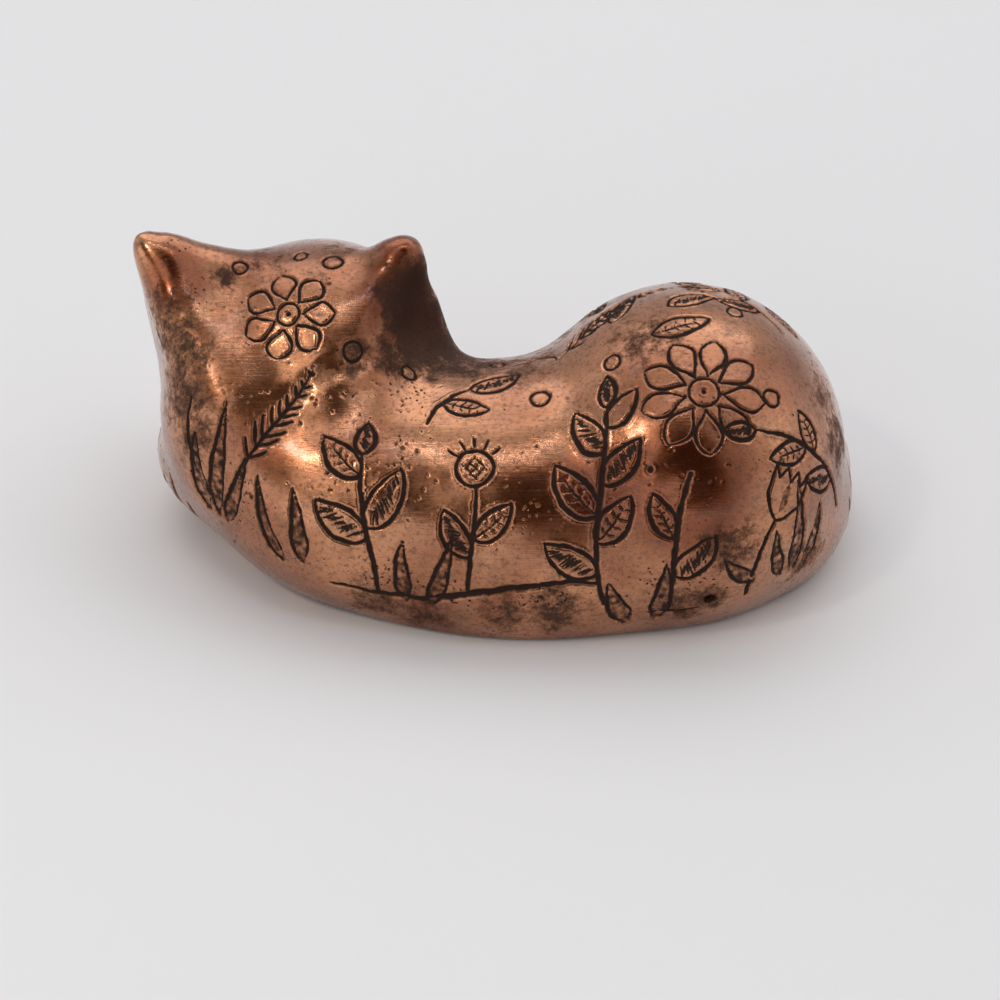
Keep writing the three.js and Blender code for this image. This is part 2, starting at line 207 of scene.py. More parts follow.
def out_of(points):
    slope = slope_of(points)
    return slope / np.linalg.norm(slope, axis=1, keepdims=True)


def settle(points, rounds=2, flat=None):
    """Moves points along the field's slope onto the skin. Flat points keep their height."""
    points = points.copy()
    for _ in range(rounds):
        slope = slope_of(points)
        if flat is not None:
            slope[flat, 2] = 0
        steep = np.maximum((slope**2).sum(axis=1), 0.1)
        points -= (np.clip(field(points), -0.4, 0.4) / steep)[:, None] * slope
    return points


# Over how far the skin's roundness is felt.
ROUND_REACH = 2.2


def roundness(points, reach):
    """How far the skin bulges (above 0) or sinks in (below 0) over the given reach."""
    total = -6 * field(points)
    for step in steps_along(reach):
        total += field(points + step) + field(points - step)
    return total / reach**2


def smooth_step(x, low, high):
    t = np.clip((x - low) / (high - low), 0, 1)
    return t * t * (3 - 2 * t)


def merged_mesh(node):
    """The corners in millimetres and the triangles of a CAD node, with its loose triangles joined."""
    mesh = nodes[node].data
    corners = np.empty(len(mesh.vertices) * 3)
    mesh.vertices.foreach_get("co", corners)
    faces = np.empty(len(mesh.polygons) * 3, dtype=np.int32)
    mesh.polygons.foreach_get("vertices", faces)
    corners = np.round(corners.reshape(-1, 3) / MM, 4)
    corners, index = np.unique(corners, axis=0, return_inverse=True)
    faces = index.reshape(-1)[faces].reshape(-1, 3)
    whole = (faces[:, 0] != faces[:, 1]) & (faces[:, 1] != faces[:, 2]) & (faces[:, 2] != faces[:, 0])
    return corners, faces[whole]


cast_points, cast_faces = merged_mesh("cat_casting")


def on_skin(points, faces):
    """Which faces of the casting are the cat's skin, and not its foot, its hollow or its vent hole."""
    near = np.abs(field(points)) < np.where(points[:, 2] > 30, 1.0, 0.35)
    a, b, c = (points[faces[:, n]] for n in range(3))
    normal = np.cross(b - a, c - a)
    normal /= np.maximum(np.linalg.norm(normal, axis=1, keepdims=True), 1e-12)
    under = (normal[:, 2] < -0.9) & (points[faces][:, :, 2].max(axis=1) < FOOT + 0.01)
    return near[faces].all(axis=1) & ~under


skin_faces = on_skin(cast_points, cast_faces)


class Skin:
    """The cat's skin, for laying cuts on."""

    def __init__(self, points, faces):
        self.points = [Vector(p) for p in points]
        self.normals = [Vector(n) for n in out_of(points)]
        self.faces = [tuple(int(n) for n in face) for face in faces]
        self.tree = BVHTree.FromPolygons(self.points, self.faces)

    def facing(self, place, face):
        corners = self.faces[face]
        shares = poly_3d_calc([self.points[n] for n in corners], place)
        return sum((self.normals[n] * share for n, share in zip(corners, shares)), Vector()).normalized()

    def drop(self, point):
        place, _, face, _ = self.tree.find_nearest(point)
        return place, self.facing(place, face)

    def meet(self, start, aim):
        return self.tree.ray_cast(start, aim)[0]


skin = Skin(cast_points, cast_faces[skin_faces])

# The camera stands 385 mm from the cat, 37 degrees above the table, and looks a little below it.
CAMERA_FAR = 385.0
CAMERA_HIGH = math.radians(37.0)
CAMERA_AIM = Vector((0.0, 0.0, 18.0))
CAMERA_TILT = math.radians(-1.69)
CAMERA_TURN = math.radians(-0.062)
LENS = 100.0
SENSOR = 36.0

camera_back = Vector((0.0, -math.cos(CAMERA_HIGH), math.sin(CAMERA_HIGH)))
camera_place = CAMERA_AIM + camera_back * CAMERA_FAR
look = -camera_back
look.rotate(Quaternion((1, 0, 0), CAMERA_TILT))
look.rotate(Quaternion((0, 0, 1), CAMERA_TURN))
camera_turn = look.to_track_quat("-Z", "Y")


PICTURE = 1000
# From outside the cat to anywhere on it.
OUTSIDE = 80.0


def seen(x, y):
    """The place on the skin that the camera sees at a pixel of a 1000 by 1000 picture."""
    across, down = ((way / PICTURE - 0.5) * SENSOR for way in (x, y))
    return skin.meet(camera_place, camera_turn @ Vector((across, -down, -LENS)))


def over(x, angle, height=9.0):
    """The place on the skin at x, seen from the angle above the front of the table, square to the back."""
    aim = Vector((0.0, math.cos(math.radians(angle)), -math.sin(math.radians(angle))))
    return skin.meet(Vector((x, 0.0, height)) - aim * OUTSIDE, aim)


def faced(x, z):
    """The place on the skin at x and z, seen from behind the cat, where its face is."""
    return skin.meet(Vector((x, OUTSIDE, z)), FRONT)


UP, FRONT, BACK = Vector((0, 0, 1)), Vector((0, -1, 0)), Vector((0, 1, 0))
LEFT, RIGHT = Vector((-1, 0, 0)), Vector((1, 0, 0))
# Every cut comes out this much wider and deeper than it is asked for.
BOLD, DEEP = 1.12, 1.35
# Both the dice and the noise start from it.
SEED = 11
dice = random.Random(SEED)
noise.seed_set(SEED)
cuts = []
shades = []


def cut(places, width, depth, ends, flat=0.0):
    """One stroke of the graver. It thins to the given shares at its ends. A flat one has a level floor."""
    if len(places) > 1:
        cuts.append({
            "places": places, "width": width * BOLD, "depth": depth * DEEP, "ends": ends, "flat": flat})


def level(direction, up):
    return (direction - up * direction.dot(up)).normalized()


def walk(start, heading, length, bend=0.0, step=0.5):
    """A path on the skin. It turns left by bend, in degrees per millimetre, which may change along it."""
    place, up = skin.drop(start)
    ahead = level(heading, up)
    path = [(place, up, ahead)]
    count = max(2, round(length / step))
    step = length / count
    first, last = bend if isinstance(bend, tuple) else (bend, bend)
    for n in range(count):
        turn = math.radians(first + (last - first) * n / count) * step
        ahead = Quaternion(up, turn) @ ahead
        place, up = skin.drop(place + ahead * step)
        ahead = level(ahead, up)
        path.append((place, up, ahead))
    return path


def turned(frame_at, degrees):
    return Quaternion(frame_at[1], math.radians(degrees)) @ frame_at[2]


def line(path):
    return [place for place, _, _ in path]


def side_of(path, widths):
    """The places beside a path, at the given distances to its left."""
    return [skin.drop(place + up.cross(ahead) * width)[0] for (place, up, ahead), width in zip(path, widths)]


# How far apart the places of a stroke lie.
FINE_STEP, STEP, LONG_STEP = 0.3, 0.4, 0.5


def cut_along(start, heading, length, bend, step, width, depth, ends):
    cut(line(walk(start, heading, length, bend, step)), width, depth, ends)


def ring(centre, radius, width=0.5, depth=0.3):
    place, up = skin.drop(centre)
    ahead = level(Vector((1, 0.3, 0.2)), up)
    spokes = [Quaternion(up, 2 * math.pi * n / 20) @ ahead * radius for n in range(21)]
    cut([skin.drop(place + spoke)[0] for spoke in spokes], width, depth, (1, 1))


def dot(centre, width=0.9, depth=0.35):
    place, up = skin.drop(centre)
    cut([place, place + level(UP + Vector((0.1, 0, 0)), up) * 0.1], width, depth, (1, 1))


def sunk_blade(path, width):
    """A blade with a level sunk floor, laid as a row of short wide cuts, and a stroke along each side."""
    count = len(path) - 1
    grown = [min(1.0, (n / count) * 3.2 + 0.35) * (1 - (n / count) ** 1.7) for n in range(count + 1)]
    for n in range(2, round(count * 0.86), 2):
        cut(side_of(path[n - 2:n + 1], [0.0] * 3), width * 0.8 * grown[n - 1], 0.26, (1, 1), 1.0)
    for side, stroke in ((1, 0.8), (-1, 0.55)):
        cut(side_of(path, [side * width * 0.42 * share for share in grown]), stroke, 0.36, (0.5, 0.25))


def leaf(start, heading, length, width, bend, style, blunt=0.8, stroke=0.75):
    """A leaf: two bowed sides, and inside it a vein with ticks, hatching, nothing, or a level sunk floor."""
    path = walk(start, heading, length, bend, length / 18)
    if style == "sunk":
        sunk_blade(path, width)
        return
    count = len(path) - 1
    bow = [width / 2 * math.sin(math.pi * (n / count) ** blunt) ** 0.8 for n in range(count)] + [0.0]
    shades.append((path[count // 2][0], width * 0.42, {"hatched": 0.75, "veined": 0.45}.get(style, 0.3)))
    shades.append((path[count // 3][0], width * 0.36, {"hatched": 0.7, "veined": 0.35}.get(style, 0.25)))
    for side in (-1, 1):
        edge = side_of(path, [side * b for b in bow])
        cut(edge, stroke * dice.uniform(0.85, 1.2), 0.33, (0.8, 0.3) if side > 0 else (0.4, 0.6))
    if style == "veined":
        cut(line(path)[1:-4], 0.42, 0.22, (0.7, 0.2))
        for n in range(4, count - 4, 3):
            for side in (-1, 1):
                a, b = side_of(path[n:n + 2], [side * 0.2, side * bow[n] * 0.62])
                cut([a, (a + b) / 2, b], 0.32, 0.15, (0.8, 0.3))
    if style == "hatched":
        for n in range(3, count - 2):
            low, high = dice.uniform(-0.62, -0.2), dice.uniform(0.2, 0.62)
            a, b = side_of([path[n - 1], path[min(count, n + 1)]], [bow[n] * low, bow[n] * high])
            cut([a, (a + b) / 2, b], dice.uniform(0.3, 0.5), 0.17, (0.6, 0.5))


def leaf_on(stem, step, degrees, length, width, bend, style):
    """A leaf that springs from a step of a stem, turned left by the degrees."""
    leaf(stem[step][0], turned(stem[step], degrees), length, width, bend, style)


def blades(start, heading, lengths, fan, width):
    """A tuft of grass: sunk blades that spread from the foot."""
    for n, length in enumerate(lengths):
        frame_at = walk(start, heading, 0.8)[-1]
        lean = (n - (len(lengths) - 1) / 2) * fan
        foot = skin.drop(start + level(heading, frame_at[1]).cross(frame_at[1]) * (lean * -0.1))[0]
        leaf(foot, turned(frame_at, lean), length, width * dice.uniform(0.85, 1.15), -lean * 0.09, "sunk")


def sprig(start, heading, length, bend, leaves, stem=0.75):
    """A stem with leaves and a tip. Each leaf: share of the way up, side, angle, length, width and style."""
    path = walk(start, heading, length, bend)
    cut(line(path), stem, 0.34, (0.9, 0.35))
    for share, side, angle, size, width, style in leaves:
        leaf_on(path, round(share * (len(path) - 1)), side * angle, size, width, -side * 2.5, style)
    leaf_on(path, -1, 0, 4.6, 2.5, 0.0, "hatched")


def fern(start, heading, length, bend, longest):
    """A stem with pairs of short slanting cuts that grow shorter to its tip."""
    path = walk(start, heading, length, bend)
    cut(line(path), 0.6, 0.32, (0.9, 0.25))
    count = max(4, round(length / 1.7))
    for n in range(1, count):
        share = n / count
        at = path[round(share * (len(path) - 1))]
        size = longest * (1.05 - share) * min(1.0, 0.5 + share * 2)
        for side in (-1, 1):
            cut_along(at[0], turned(at, side * 48), size, -side * 6, STEP, 0.62, 0.3, (0.4, 0.7))


def daisy(centre, radius, petals, turn, heart):
    """A ring with a dot in it, and drop-shaped petals round it."""
    place, up = skin.drop(centre)
    first = level(Vector((0.2, -0.3, 1.0)), up)
    ring(place, heart, 0.5)
    dot(place, 0.8)
    for n in range(petals):
        aim = Quaternion(up, math.radians(turn + 360 * n / petals)) @ first
        root = skin.drop(place + aim * (heart + 0.55))[0]
        leaf(root, aim, radius - heart - 0.55, (radius * 3.0 / petals) * 1.25, 0.0, "plain", 1.35, 0.58)


def bell(start, heading, size):
    """A bell flower on the end of a stem: a cup with a toothed rim."""
    path = walk(start, heading, size, 0.0, size / 12)
    count = len(path) - 1
    bow = [size * 0.42 * min(1.0, (n / count) * 2.4) ** 0.6 for n in range(count + 1)]
    left, right = side_of(path, bow), side_of(path, [-b for b in bow])
    cut(left, 0.7, 0.33, (0.6, 0.8))
    cut(right, 0.7, 0.33, (0.6, 0.8))
    low, high = path[-1 - count // 4], path[-1]
    rim = [left[-1]]
    for n in range(1, 6):
        base = high if n % 2 == 0 else low
        rim.append(skin.drop(base[0] + base[1].cross(base[2]) * (bow[-1] * (1 - n / 3)))[0])
    rim.append(right[-1])
    for a, b in zip(rim, rim[1:]):
        cut([a, (a + b) / 2, b], 0.55, 0.3, (0.7, 0.7))
    cut(line(path)[2:-4], 0.9, 0.25, (0.3, 0.6), 1.0)


def seed_head(start, heading, size):
    """A round seed head with a crown of short rays."""
    path = walk(start, heading, size, 0.0, 0.3)
    middle = path[len(path) // 2]
    ring(middle[0], size / 2, 0.65, 0.33)
    for n in range(-2, 3):
        aim = turned(middle, n * 26)
        root = skin.drop(middle[0] + aim * (size / 2 + 0.5))[0]
        cut_along(root, aim, 1.5, 0.0, FINE_STEP, 0.55, 0.3, (0.8, 0.3))
    for n in range(-1, 2):
        for lean in (-40, 40):
            aim = turned(middle, lean) * size * 0.3
            shift = turned(middle, lean + 90) * size * 0.19 * n
            cut([skin.drop(middle[0] + shift + aim * s)[0] for s in (-1, 0, 1)], 0.36, 0.2, (0.5, 0.5))


def curl(start, heading, length, tight):
    """A tendril that winds up at its end."""
    cut_along(start, heading, length, (tight * 0.15, tight), FINE_STEP, 0.6, 0.3, (0.8, 0.3))


def trace(pixels, width, depth=0.33, ends=(0.4, 0.4)):
    """One cut through the places seen at a row of pixels, waved a little by hand."""
    marks = [seen(*pixel) for pixel in pixels]
    places = []
    for a, b in zip(marks, marks[1:]):
        count = max(2, round((b - a).length / 0.8))
        for n in range(count):
            sway = Vector((0, 0, dice.uniform(-0.16, 0.16)))
            places.append(skin.drop(a.lerp(b, n / count) + sway)[0])
    places.append(skin.drop(marks[-1])[0])
    cut(places, width, depth, ends)


def pit(centre, width):
    place, up = skin.drop(centre)
    aim = level(Vector((dice.uniform(-1, 1), dice.uniform(-1, 1), dice.uniform(-1, 1))), up)
    cut([place, place + aim * width * dice.uniform(0.1, 0.7)], width, 0.16, (0.8, 0.8))


# Places on the side that the camera sees, in pixels of a 1000 by 1000 picture.
SPOTS = {
    "chest_grass": (218, 512), "nape_fern": (243, 468), "nape_daisy": (288, 314),
    "head_ring": (333, 262), "left_ear_ring": (240, 268), "right_ear_ring": (353, 352),
    "crown_ring": (301, 256), "shoulder_sprig": (378, 592), "shoulder_grass": (292, 560),
    "foot_grass": (418, 600), "neck_ring": (410, 372), "seed_stalk": (468, 594), "back_leaf": (470, 389),
    "back_leaflet": (444, 402), "back_ring": (540, 398), "flank_sprig": (604, 604),
    "flank_grass": (640, 618), "rump_stalk": (668, 608), "rump_daisy": (704, 392), "bell": (746, 594),
    "rump_grass": (792, 568), "end_sprig": (836, 505), "rump_ring": (772, 398), "rump_dot": (650, 470),
    "saddle_fern": (560, 358), "top_leaf": (652, 334), "far_leaf": (668, 306), "near_leaf": (612, 322),
    "saddle_ring": (612, 362), "tendril": (512, 366), "top_sprig": (782, 332), "top_ring": (735, 312),
}
CHEST_LINE = ((192, 396), (188, 436), (200, 480))
BACK_STEM = ((426, 424), (436, 408), (452, 396), (470, 389))
LONG_GROUND = ((330, 582), (372, 592), (420, 599), (470, 594), (520, 588), (566, 582), (598, 584))
SHORT_GROUND = ((646, 612), (690, 610), (700, 608))


def spot(name):
    return seen(*SPOTS[name])


def engrave_outer_side():
    """The side that the camera sees: plants that grow up from the foot along the curve of the back."""
    # The chest, under the left ear.
    blades(spot("chest_grass"), UP + LEFT * 0.05, (10.0, 16.5, 11.5), 20, 3.0)
    trace(CHEST_LINE, 0.9)
    # The nape.
    fern(spot("nape_fern"), UP * 0.9 + RIGHT * 0.22, 17.0, (-3.0, 4.0), 4.2)
    daisy(spot("nape_daisy"), 6.4, 7, 12, 1.6)
    ring(spot("head_ring"), 1.3)
    ring(spot("left_ear_ring"), 1.0)
    ring(spot("right_ear_ring"), 1.35, 0.6)
    ring(spot("crown_ring"), 0.9)
    # The shoulder.
    sprig(spot("shoulder_sprig"), UP + LEFT * 0.02, 20.0, (2.6, -3.2), [
        (0.42, 1, 56, 8.8, 4.2, "hatched"), (0.50, -1, 52, 9.4, 4.2, "hatched"),
        (0.86, 1, 52, 7.6, 3.8, "veined")], 0.95)
    blades(spot("shoulder_grass"), UP + LEFT * 0.4, (10.5, 12.5), 30, 2.6)
    blades(spot("foot_grass"), UP + RIGHT * 0.1, (11.0, 9.0), 34, 2.8)
    ring(spot("neck_ring"), 1.0)
    # The flank.
    seed = walk(spot("seed_stalk"), UP + LEFT * 0.05, 15.0, (-2.0, 3.0))
    cut(line(seed), 0.85, 0.35, (0.9, 0.5))
    seed_head(seed[-1][0], seed[-1][2], 5.0)
    leaf_on(seed, 11, 52, 7.4, 3.4, -4, "hatched")
    leaf_on(seed, 16, -54, 7.2, 3.3, 4, "veined")
    trace(BACK_STEM, 0.8, 0.33, (0.6, 0.3))
    leaf(spot("back_leaf"), RIGHT + BACK * 0.1, 7.6, 3.4, 5, "hatched")
    leaf(spot("back_leaflet"), RIGHT * 0.9 + FRONT * 0.5, 6.4, 2.9, 4, "veined")
    ring(spot("back_ring"), 1.3)
    sprig(spot("flank_sprig"), UP + LEFT * 0.34, 28.0, (-3.0, 2.4), [
        (0.18, 1, 62, 8.4, 4.0, "hatched"), (0.34, -1, 44, 8.0, 3.9, "veined"),
        (0.46, 1, 56, 9.0, 4.3, "veined"), (0.62, -1, 46, 7.8, 3.8, "hatched"),
        (0.76, 1, 52, 7.4, 3.7, "hatched"), (0.9, -1, 44, 6.4, 3.2, "plain")], 0.95)
    blades(spot("flank_grass"), UP + LEFT * 0.1, (10.0, 7.5), 42, 3.4)
    # The rump.
    stalk = walk(spot("rump_stalk"), UP + RIGHT * 0.1, 21.0, (1.2, -2.4))
    cut(line(stalk), 1.0, 0.38, (0.8, 0.7))
    daisy(spot("rump_daisy"), 8.6, 9, 20, 2.0)
    leaf_on(stalk, 12, -54, 8.4, 4.0, 3, "hatched")
    leaf_on(stalk, 24, 44, 6.8, 3.2, -3, "veined")
    bellstem = walk(spot("bell"), UP + RIGHT * 0.05, 12.5, (-1.0, -5.0))
    cut(line(bellstem), 0.85, 0.35, (0.9, 0.6))
    bell(bellstem[-1][0], bellstem[-1][2], 7.2)
    leaf_on(bellstem, 6, 62, 6.4, 3.0, -4, "sunk")
    blades(spot("rump_grass"), UP + RIGHT * 0.12, (9.5, 13.5, 8.5), 24, 2.9)
    sprig(spot("end_sprig"), UP + LEFT * 0.3, 22.0, (1.5, 2.5), [
        (0.26, 1, 50, 6.8, 3.3, "hatched"), (0.52, -1, 48, 6.0, 2.9, "veined"),
        (0.62, 1, 48, 6.6, 3.1, "veined")], 0.85)
    ring(spot("rump_ring"), 1.2)
    dot(spot("rump_dot"), 1.0)
    # The ground that they grow from.
    trace(LONG_GROUND, 1.25, 0.4)
    trace(SHORT_GROUND, 0.8)


def engrave_top():
    """The top of the rump and the saddle."""
    fern(spot("saddle_fern"), RIGHT + BACK * 0.55, 19.0, (1.0, -3.0), 3.8)
    leaf(spot("top_leaf"), RIGHT + BACK * 0.2, 8.4, 3.6, 2, "veined")
    leaf(spot("far_leaf"), RIGHT + BACK * 0.7, 7.4, 3.2, -2, "hatched")
    leaf(spot("near_leaf"), RIGHT * 0.3 + BACK, 7.4, 3.2, -2, "hatched")
    ring(spot("saddle_ring"), 1.2)
    curl(spot("tendril"), RIGHT + BACK * 0.5, 8.0, -26)
    sprig(spot("top_sprig"), LEFT + BACK * 0.9, 15.0, (2.0, -3.0), [
        (0.3, 1, 50, 6.4, 3.0, "hatched"), (0.5, -1, 48, 6.0, 2.9, "veined"),
        (0.75, 1, 44, 5.6, 2.7, "hatched")])
    ring(spot("top_ring"), 1.1)
    for x, angle in ((16, 100), (37, 108)):
        leaf(over(x, angle), Vector((math.cos(x), math.sin(x), 0.2)), 6.4, 2.9, 3, "veined")
    ring(over(26, 112), 1.1)
    ring(over(0, 92), 1.0)


# Where the strokes across the tail lie.
TAIL_MIDDLE = 6.6
TAIL_BANDS = (6.0, 10.5, 15.0, 19.5, 24.0)
TAIL_END_BANDS = (-4.0, -2.1, -0.2)


def engrave_inner_side():
    """The side inside the curl: the thigh, the tail and both ends."""
    sprig(over(22, 150), UP * 0.3 + LEFT, 17.0, (4.0, 3.0), [
        (0.25, 1, 50, 5.6, 2.6, "hatched"), (0.4, -1, 48, 5.6, 2.6, "veined"),
        (0.6, 1, 46, 5.2, 2.4, "veined"), (0.76, -1, 46, 5.0, 2.3, "hatched")])
    daisy(over(31, 138), 5.2, 8, 0, 1.4)
    fern(over(41, 150, 7.0), UP + LEFT * 0.1, 15.0, 2.0, 3.0)
    ring(over(10, 128), 1.1)
    ring(over(26, 122), 0.9)
    for x in TAIL_BANDS:
        start = skin.meet(Vector((x, OUTSIDE, TAIL_MIDDLE)), FRONT)
        cut_along(start, UP + RIGHT * 0.35, 3.6, -14, STEP, 0.7, 0.3, (0.4, 0.4))
        cut_along(start, -UP + RIGHT * 0.35, 2.6, 14, STEP, 0.7, 0.3, (0.4, 0.4))
    for z in (16, 9):
        leaf(skin.meet(Vector((OUTSIDE, 4, z)), LEFT), UP + BACK * 0.4, 7.5, 2.9, 3, "hatched")
    blades(skin.meet(Vector((OUTSIDE, -4, 2.2)), LEFT), UP, (9.0, 12.0, 8.0), 20, 1.9)
    blades(skin.meet(Vector((-OUTSIDE, -2, 2.2)), RIGHT), UP, (8.0, 11.0, 9.0), 20, 1.8)
    leaf(skin.meet(Vector((-OUTSIDE, 4, 9)), RIGHT), UP + BACK * 0.5, 7.0, 2.8, -2, "hatched")
    ring(skin.meet(Vector((-OUTSIDE, 8, 17)), RIGHT), 1.1)


# The face's own sizes: where its middle and its features lie, and how long they are.
FACE_X = -27.95
EYE_X, EYE_Z, EYE_HALF, EYE_SAG = 6.6, 23.6, 3.3, 1.5
BROW_Z, BROW_HALF, LASH_Z, LASH = 26.6, 2.7, 21.4, 1.3
MOUTH_Z, MOUTH_HALF, MOUTH_SAG = 15.8, 2.9, 1.5
NOSE_TOP, NOSE_TALL, NOSE_HALF, LIP_TOP = 19.7, 1.9, 1.7, 17.6
WHISKER_X, WHISKER_Z, WHISKER = 4.4, 18.6, 7.2
FUR_X, FUR_Z, FUR = 1.5, 29.6, 3.6
# The toe lines: the paws' middles, how far apart, how low they start and how long the middle one is.
PAW_MIDDLES = (-34.95, -23.45)
TOE_APART, TOE_LOW, TOE_LINE = 2.2, 3.4, 6.4


def engrave_face():
    """A sleeping cat's face: closed eyes, nose, mouth, whiskers and the strokes of fur on its brow."""
    for side in (-1, 1):
        x = FACE_X + side * EYE_X
        lid = [faced(x + side * s * EYE_HALF, EYE_Z - EYE_SAG * (1 - s * s)) for s in np.linspace(-1, 1, 13)]
        cut(lid, 0.85, 0.4, (0.4, 0.55))
        brow = [faced(x + side * s * BROW_HALF, BROW_Z - 0.7 * s * s) for s in np.linspace(-0.8, 1, 9)]
        cut(brow, 0.5, 0.22, (0.3, 0.3))
        for n in range(3):
            low = faced(x + side * (0.2 + n * 1.4), LASH_Z + n * 0.35)
            cut_along(low, side * RIGHT * 0.5 - UP, LASH, 0, FINE_STEP, 0.4, 0.22, (0.7, 0.3))
        smile = []
        for s in np.linspace(0, 1, 11):
            sag = MOUTH_SAG * math.sin(math.pi * s) - 0.3 * s
            smile.append(faced(FACE_X + side * (0.05 + s * MOUTH_HALF), MOUTH_Z - sag))
        cut(smile, 0.7, 0.38, (0.8, 0.3))
        for n in range(3):
            root = faced(FACE_X + side * (WHISKER_X + n * 0.35), WHISKER_Z - n * 1.15)
            dot(root, 0.5, 0.25)
            aim = side * RIGHT + UP * (0.28 - n * 0.3)
            cut_along(root + side * RIGHT * 0.9, aim, WHISKER, side * 2.0, LONG_STEP, 0.42, 0.24, (0.8, 0.25))
        for n in range(3):
            low = faced(FACE_X + side * (FUR_X + n * 2.0), FUR_Z - n * 0.5)
            cut_along(low, UP + side * RIGHT * 0.25 * n, FUR - n * 0.5, 0, STEP, 0.62, 0.3, (0.3, 0.6))
    for s in np.linspace(0, 1, 5):
        half = NOSE_HALF * (1 - s) + 0.15
        row = [faced(FACE_X + t * half, NOSE_TOP - NOSE_TALL * s) for t in np.linspace(-1, 1, 5)]
        cut(row, 0.6, 0.3, (0.8, 0.8), 1.0)
    cut([faced(FACE_X, z) for z in np.linspace(LIP_TOP, MOUTH_Z + 0.1, 5)], 0.6, 0.36, (0.9, 0.8))


def engrave_paws():
    """Three toe lines over the tip of each front paw, and three short strokes on the tail's end."""
    for middle in PAW_MIDDLES:
        for n in (-1, 0, 1):
            low = skin.meet(Vector((middle + n * TOE_APART, OUTSIDE, TOE_LOW - abs(n) * 0.5)), FRONT)
            cut_along(low, UP, TOE_LINE - abs(n) * 0.8, 0, STEP, 0.8, 0.4, (0.5, 0.8))
    for x in TAIL_END_BANDS:
        start = skin.meet(Vector((x, OUTSIDE, 6.5)), FRONT)
        cut_along(start, -UP + LEFT * 0.2, 3.0, 0, STEP, 0.6, 0.32, (0.4, 0.7))


# Clusters of casting pits: where each lies by x and angle, how many it has and how far they stray.
PITS = (
    (-6, 2, 40, 4.0), (6, 0, 80, 3.0), (-16, 4, 40, 2.4), (-20, 30, 30, 5.0), (24, 6, 40, 4.0),
    (14, 42, 26, 7.0), (-12, 44, 24, 5.0), (34, 40, 20, 6.0), (0, 178, 16, 6.0), (30, 165, 18, 6.0),
    (-34, 20, 30, 6.0), (-12, 70, 40, 4.0), (-24, 62, 30, 6.0),
)
# The shares of that by which they stray along x, y and z.
STRAY = (1.0, 0.5, 0.42)


def pit_the_skin():
    """Casting pits, in clusters low on the flank and scattered elsewhere."""
    for x, angle, count, spread_out in PITS:
        middle = over(x, angle)
        for _ in range(count):
            stray = [dice.gauss(0, spread_out * share) for share in STRAY]
            pit(middle + Vector(stray), dice.choice((0.26, 0.32, 0.42)))


engrave_outer_side()
engrave_top()
engrave_inner_side()
engrave_face()
engrave_paws()
pit_the_skin()


def rounded(places):
    """A path with its corners cut twice, and its ends kept."""
    for _ in range(2):
        if len(places) > 2:
            early, late = places[:-1] * 0.75 + places[1:] * 0.25, places[:-1] * 0.25 + places[1:] * 0.75
            middle = np.stack([early, late], axis=1).reshape(-1, 3)
            places = np.vstack([places[:1], middle[1:-1], places[-1:]])
    return places


# How close together the points along a cut lie, how narrow a cut gets and how far its depth thins.
ALONG, THINNEST, SHALLOWEST = 0.14, 0.1, 0.45


def hand_sway(ways, number, pace, reach, height):
    """How a hand strays to each side along a cut."""
    return np.array([noise.noise_vector(Vector((way * pace, number * 2.3, height))) * reach for way in ways])


def stroke_samples():
    """Points along the cuts, with their half width, depth and flatness."""
    rows = []
    for number, stroke in enumerate(cuts):
        places = rounded(np.array([tuple(p) for p in stroke["places"]]))
        steps = np.linalg.norm(np.diff(places, axis=0), axis=1)
        along = np.concatenate([[0], np.cumsum(steps)])
        total = max(along[-1], 1e-6)
        count = max(2, int(total / ALONG) + 1)
        ways = np.linspace(0, total, count)
        points = np.stack([np.interp(ways, along, places[:, axis]) for axis in range(3)], axis=1)
        stray = hand_sway(ways, number, 0.42, 0.2, 5.0) + hand_sway(ways, number, 1.3, 0.06, 9.0)
        points += stray * min(1.0, total / 4)
        swell = np.sin(np.pi * (ways / total)) ** 0.7
        ends = np.interp(ways / total, (0, 1), stroke["ends"])
        wobble = np.array([noise.noise(Vector((way * 0.9, number * 3.7, 0))) for way in ways])
        share = (ends + (1 - ends) * swell) * (1 + 0.26 * wobble)
        half = np.maximum(stroke["width"] / 2 * share, THINNEST)
        depth = stroke["depth"] * (SHALLOWEST + (1 - SHALLOWEST) * share) * (1 + 0.2 * wobble)
        rows.append(np.column_stack([points, half, depth, np.full(count, stroke["flat"])]))
    return np.vstack(rows)


samples = stroke_samples()
samples[:, :3] = settle(samples[:, :3])
samples = samples[np.linalg.norm(samples[:, :3] - np.array(VENT), axis=1) > VENT_CLEAR]
samples = samples[samples[:, 2] > FOOT + FOOT_CLEAR]
sample_tree = kdtree.KDTree(len(samples))
for n, sample in enumerate(samples):
    sample_tree.insert(sample[:3], n)
sample_tree.balance()

ear_tips = [Vector(ear[0]) + Vector(SHIFT) for ear in (LEFT_EAR, RIGHT_EAR)]

# Edges are fine up to GROW_FROM from a cut or TIP_FINE from an ear's tip, and coarse from GROW_TO.
FINE, COARSE = 0.265, 0.95
GROW_FROM, GROW_TO = 0.25, 1.8
TIP_FINE, TIP_SHARE = 3.5, 0.42
# An edge is split when it is this many times as long as it should be.
TOO_LONG = 1.35
# The ears' tips are smoothed this many times, less and less from TIP_FINE to TIP_END.
TIP_ROUNDS, TIP_END = 40, 9.0


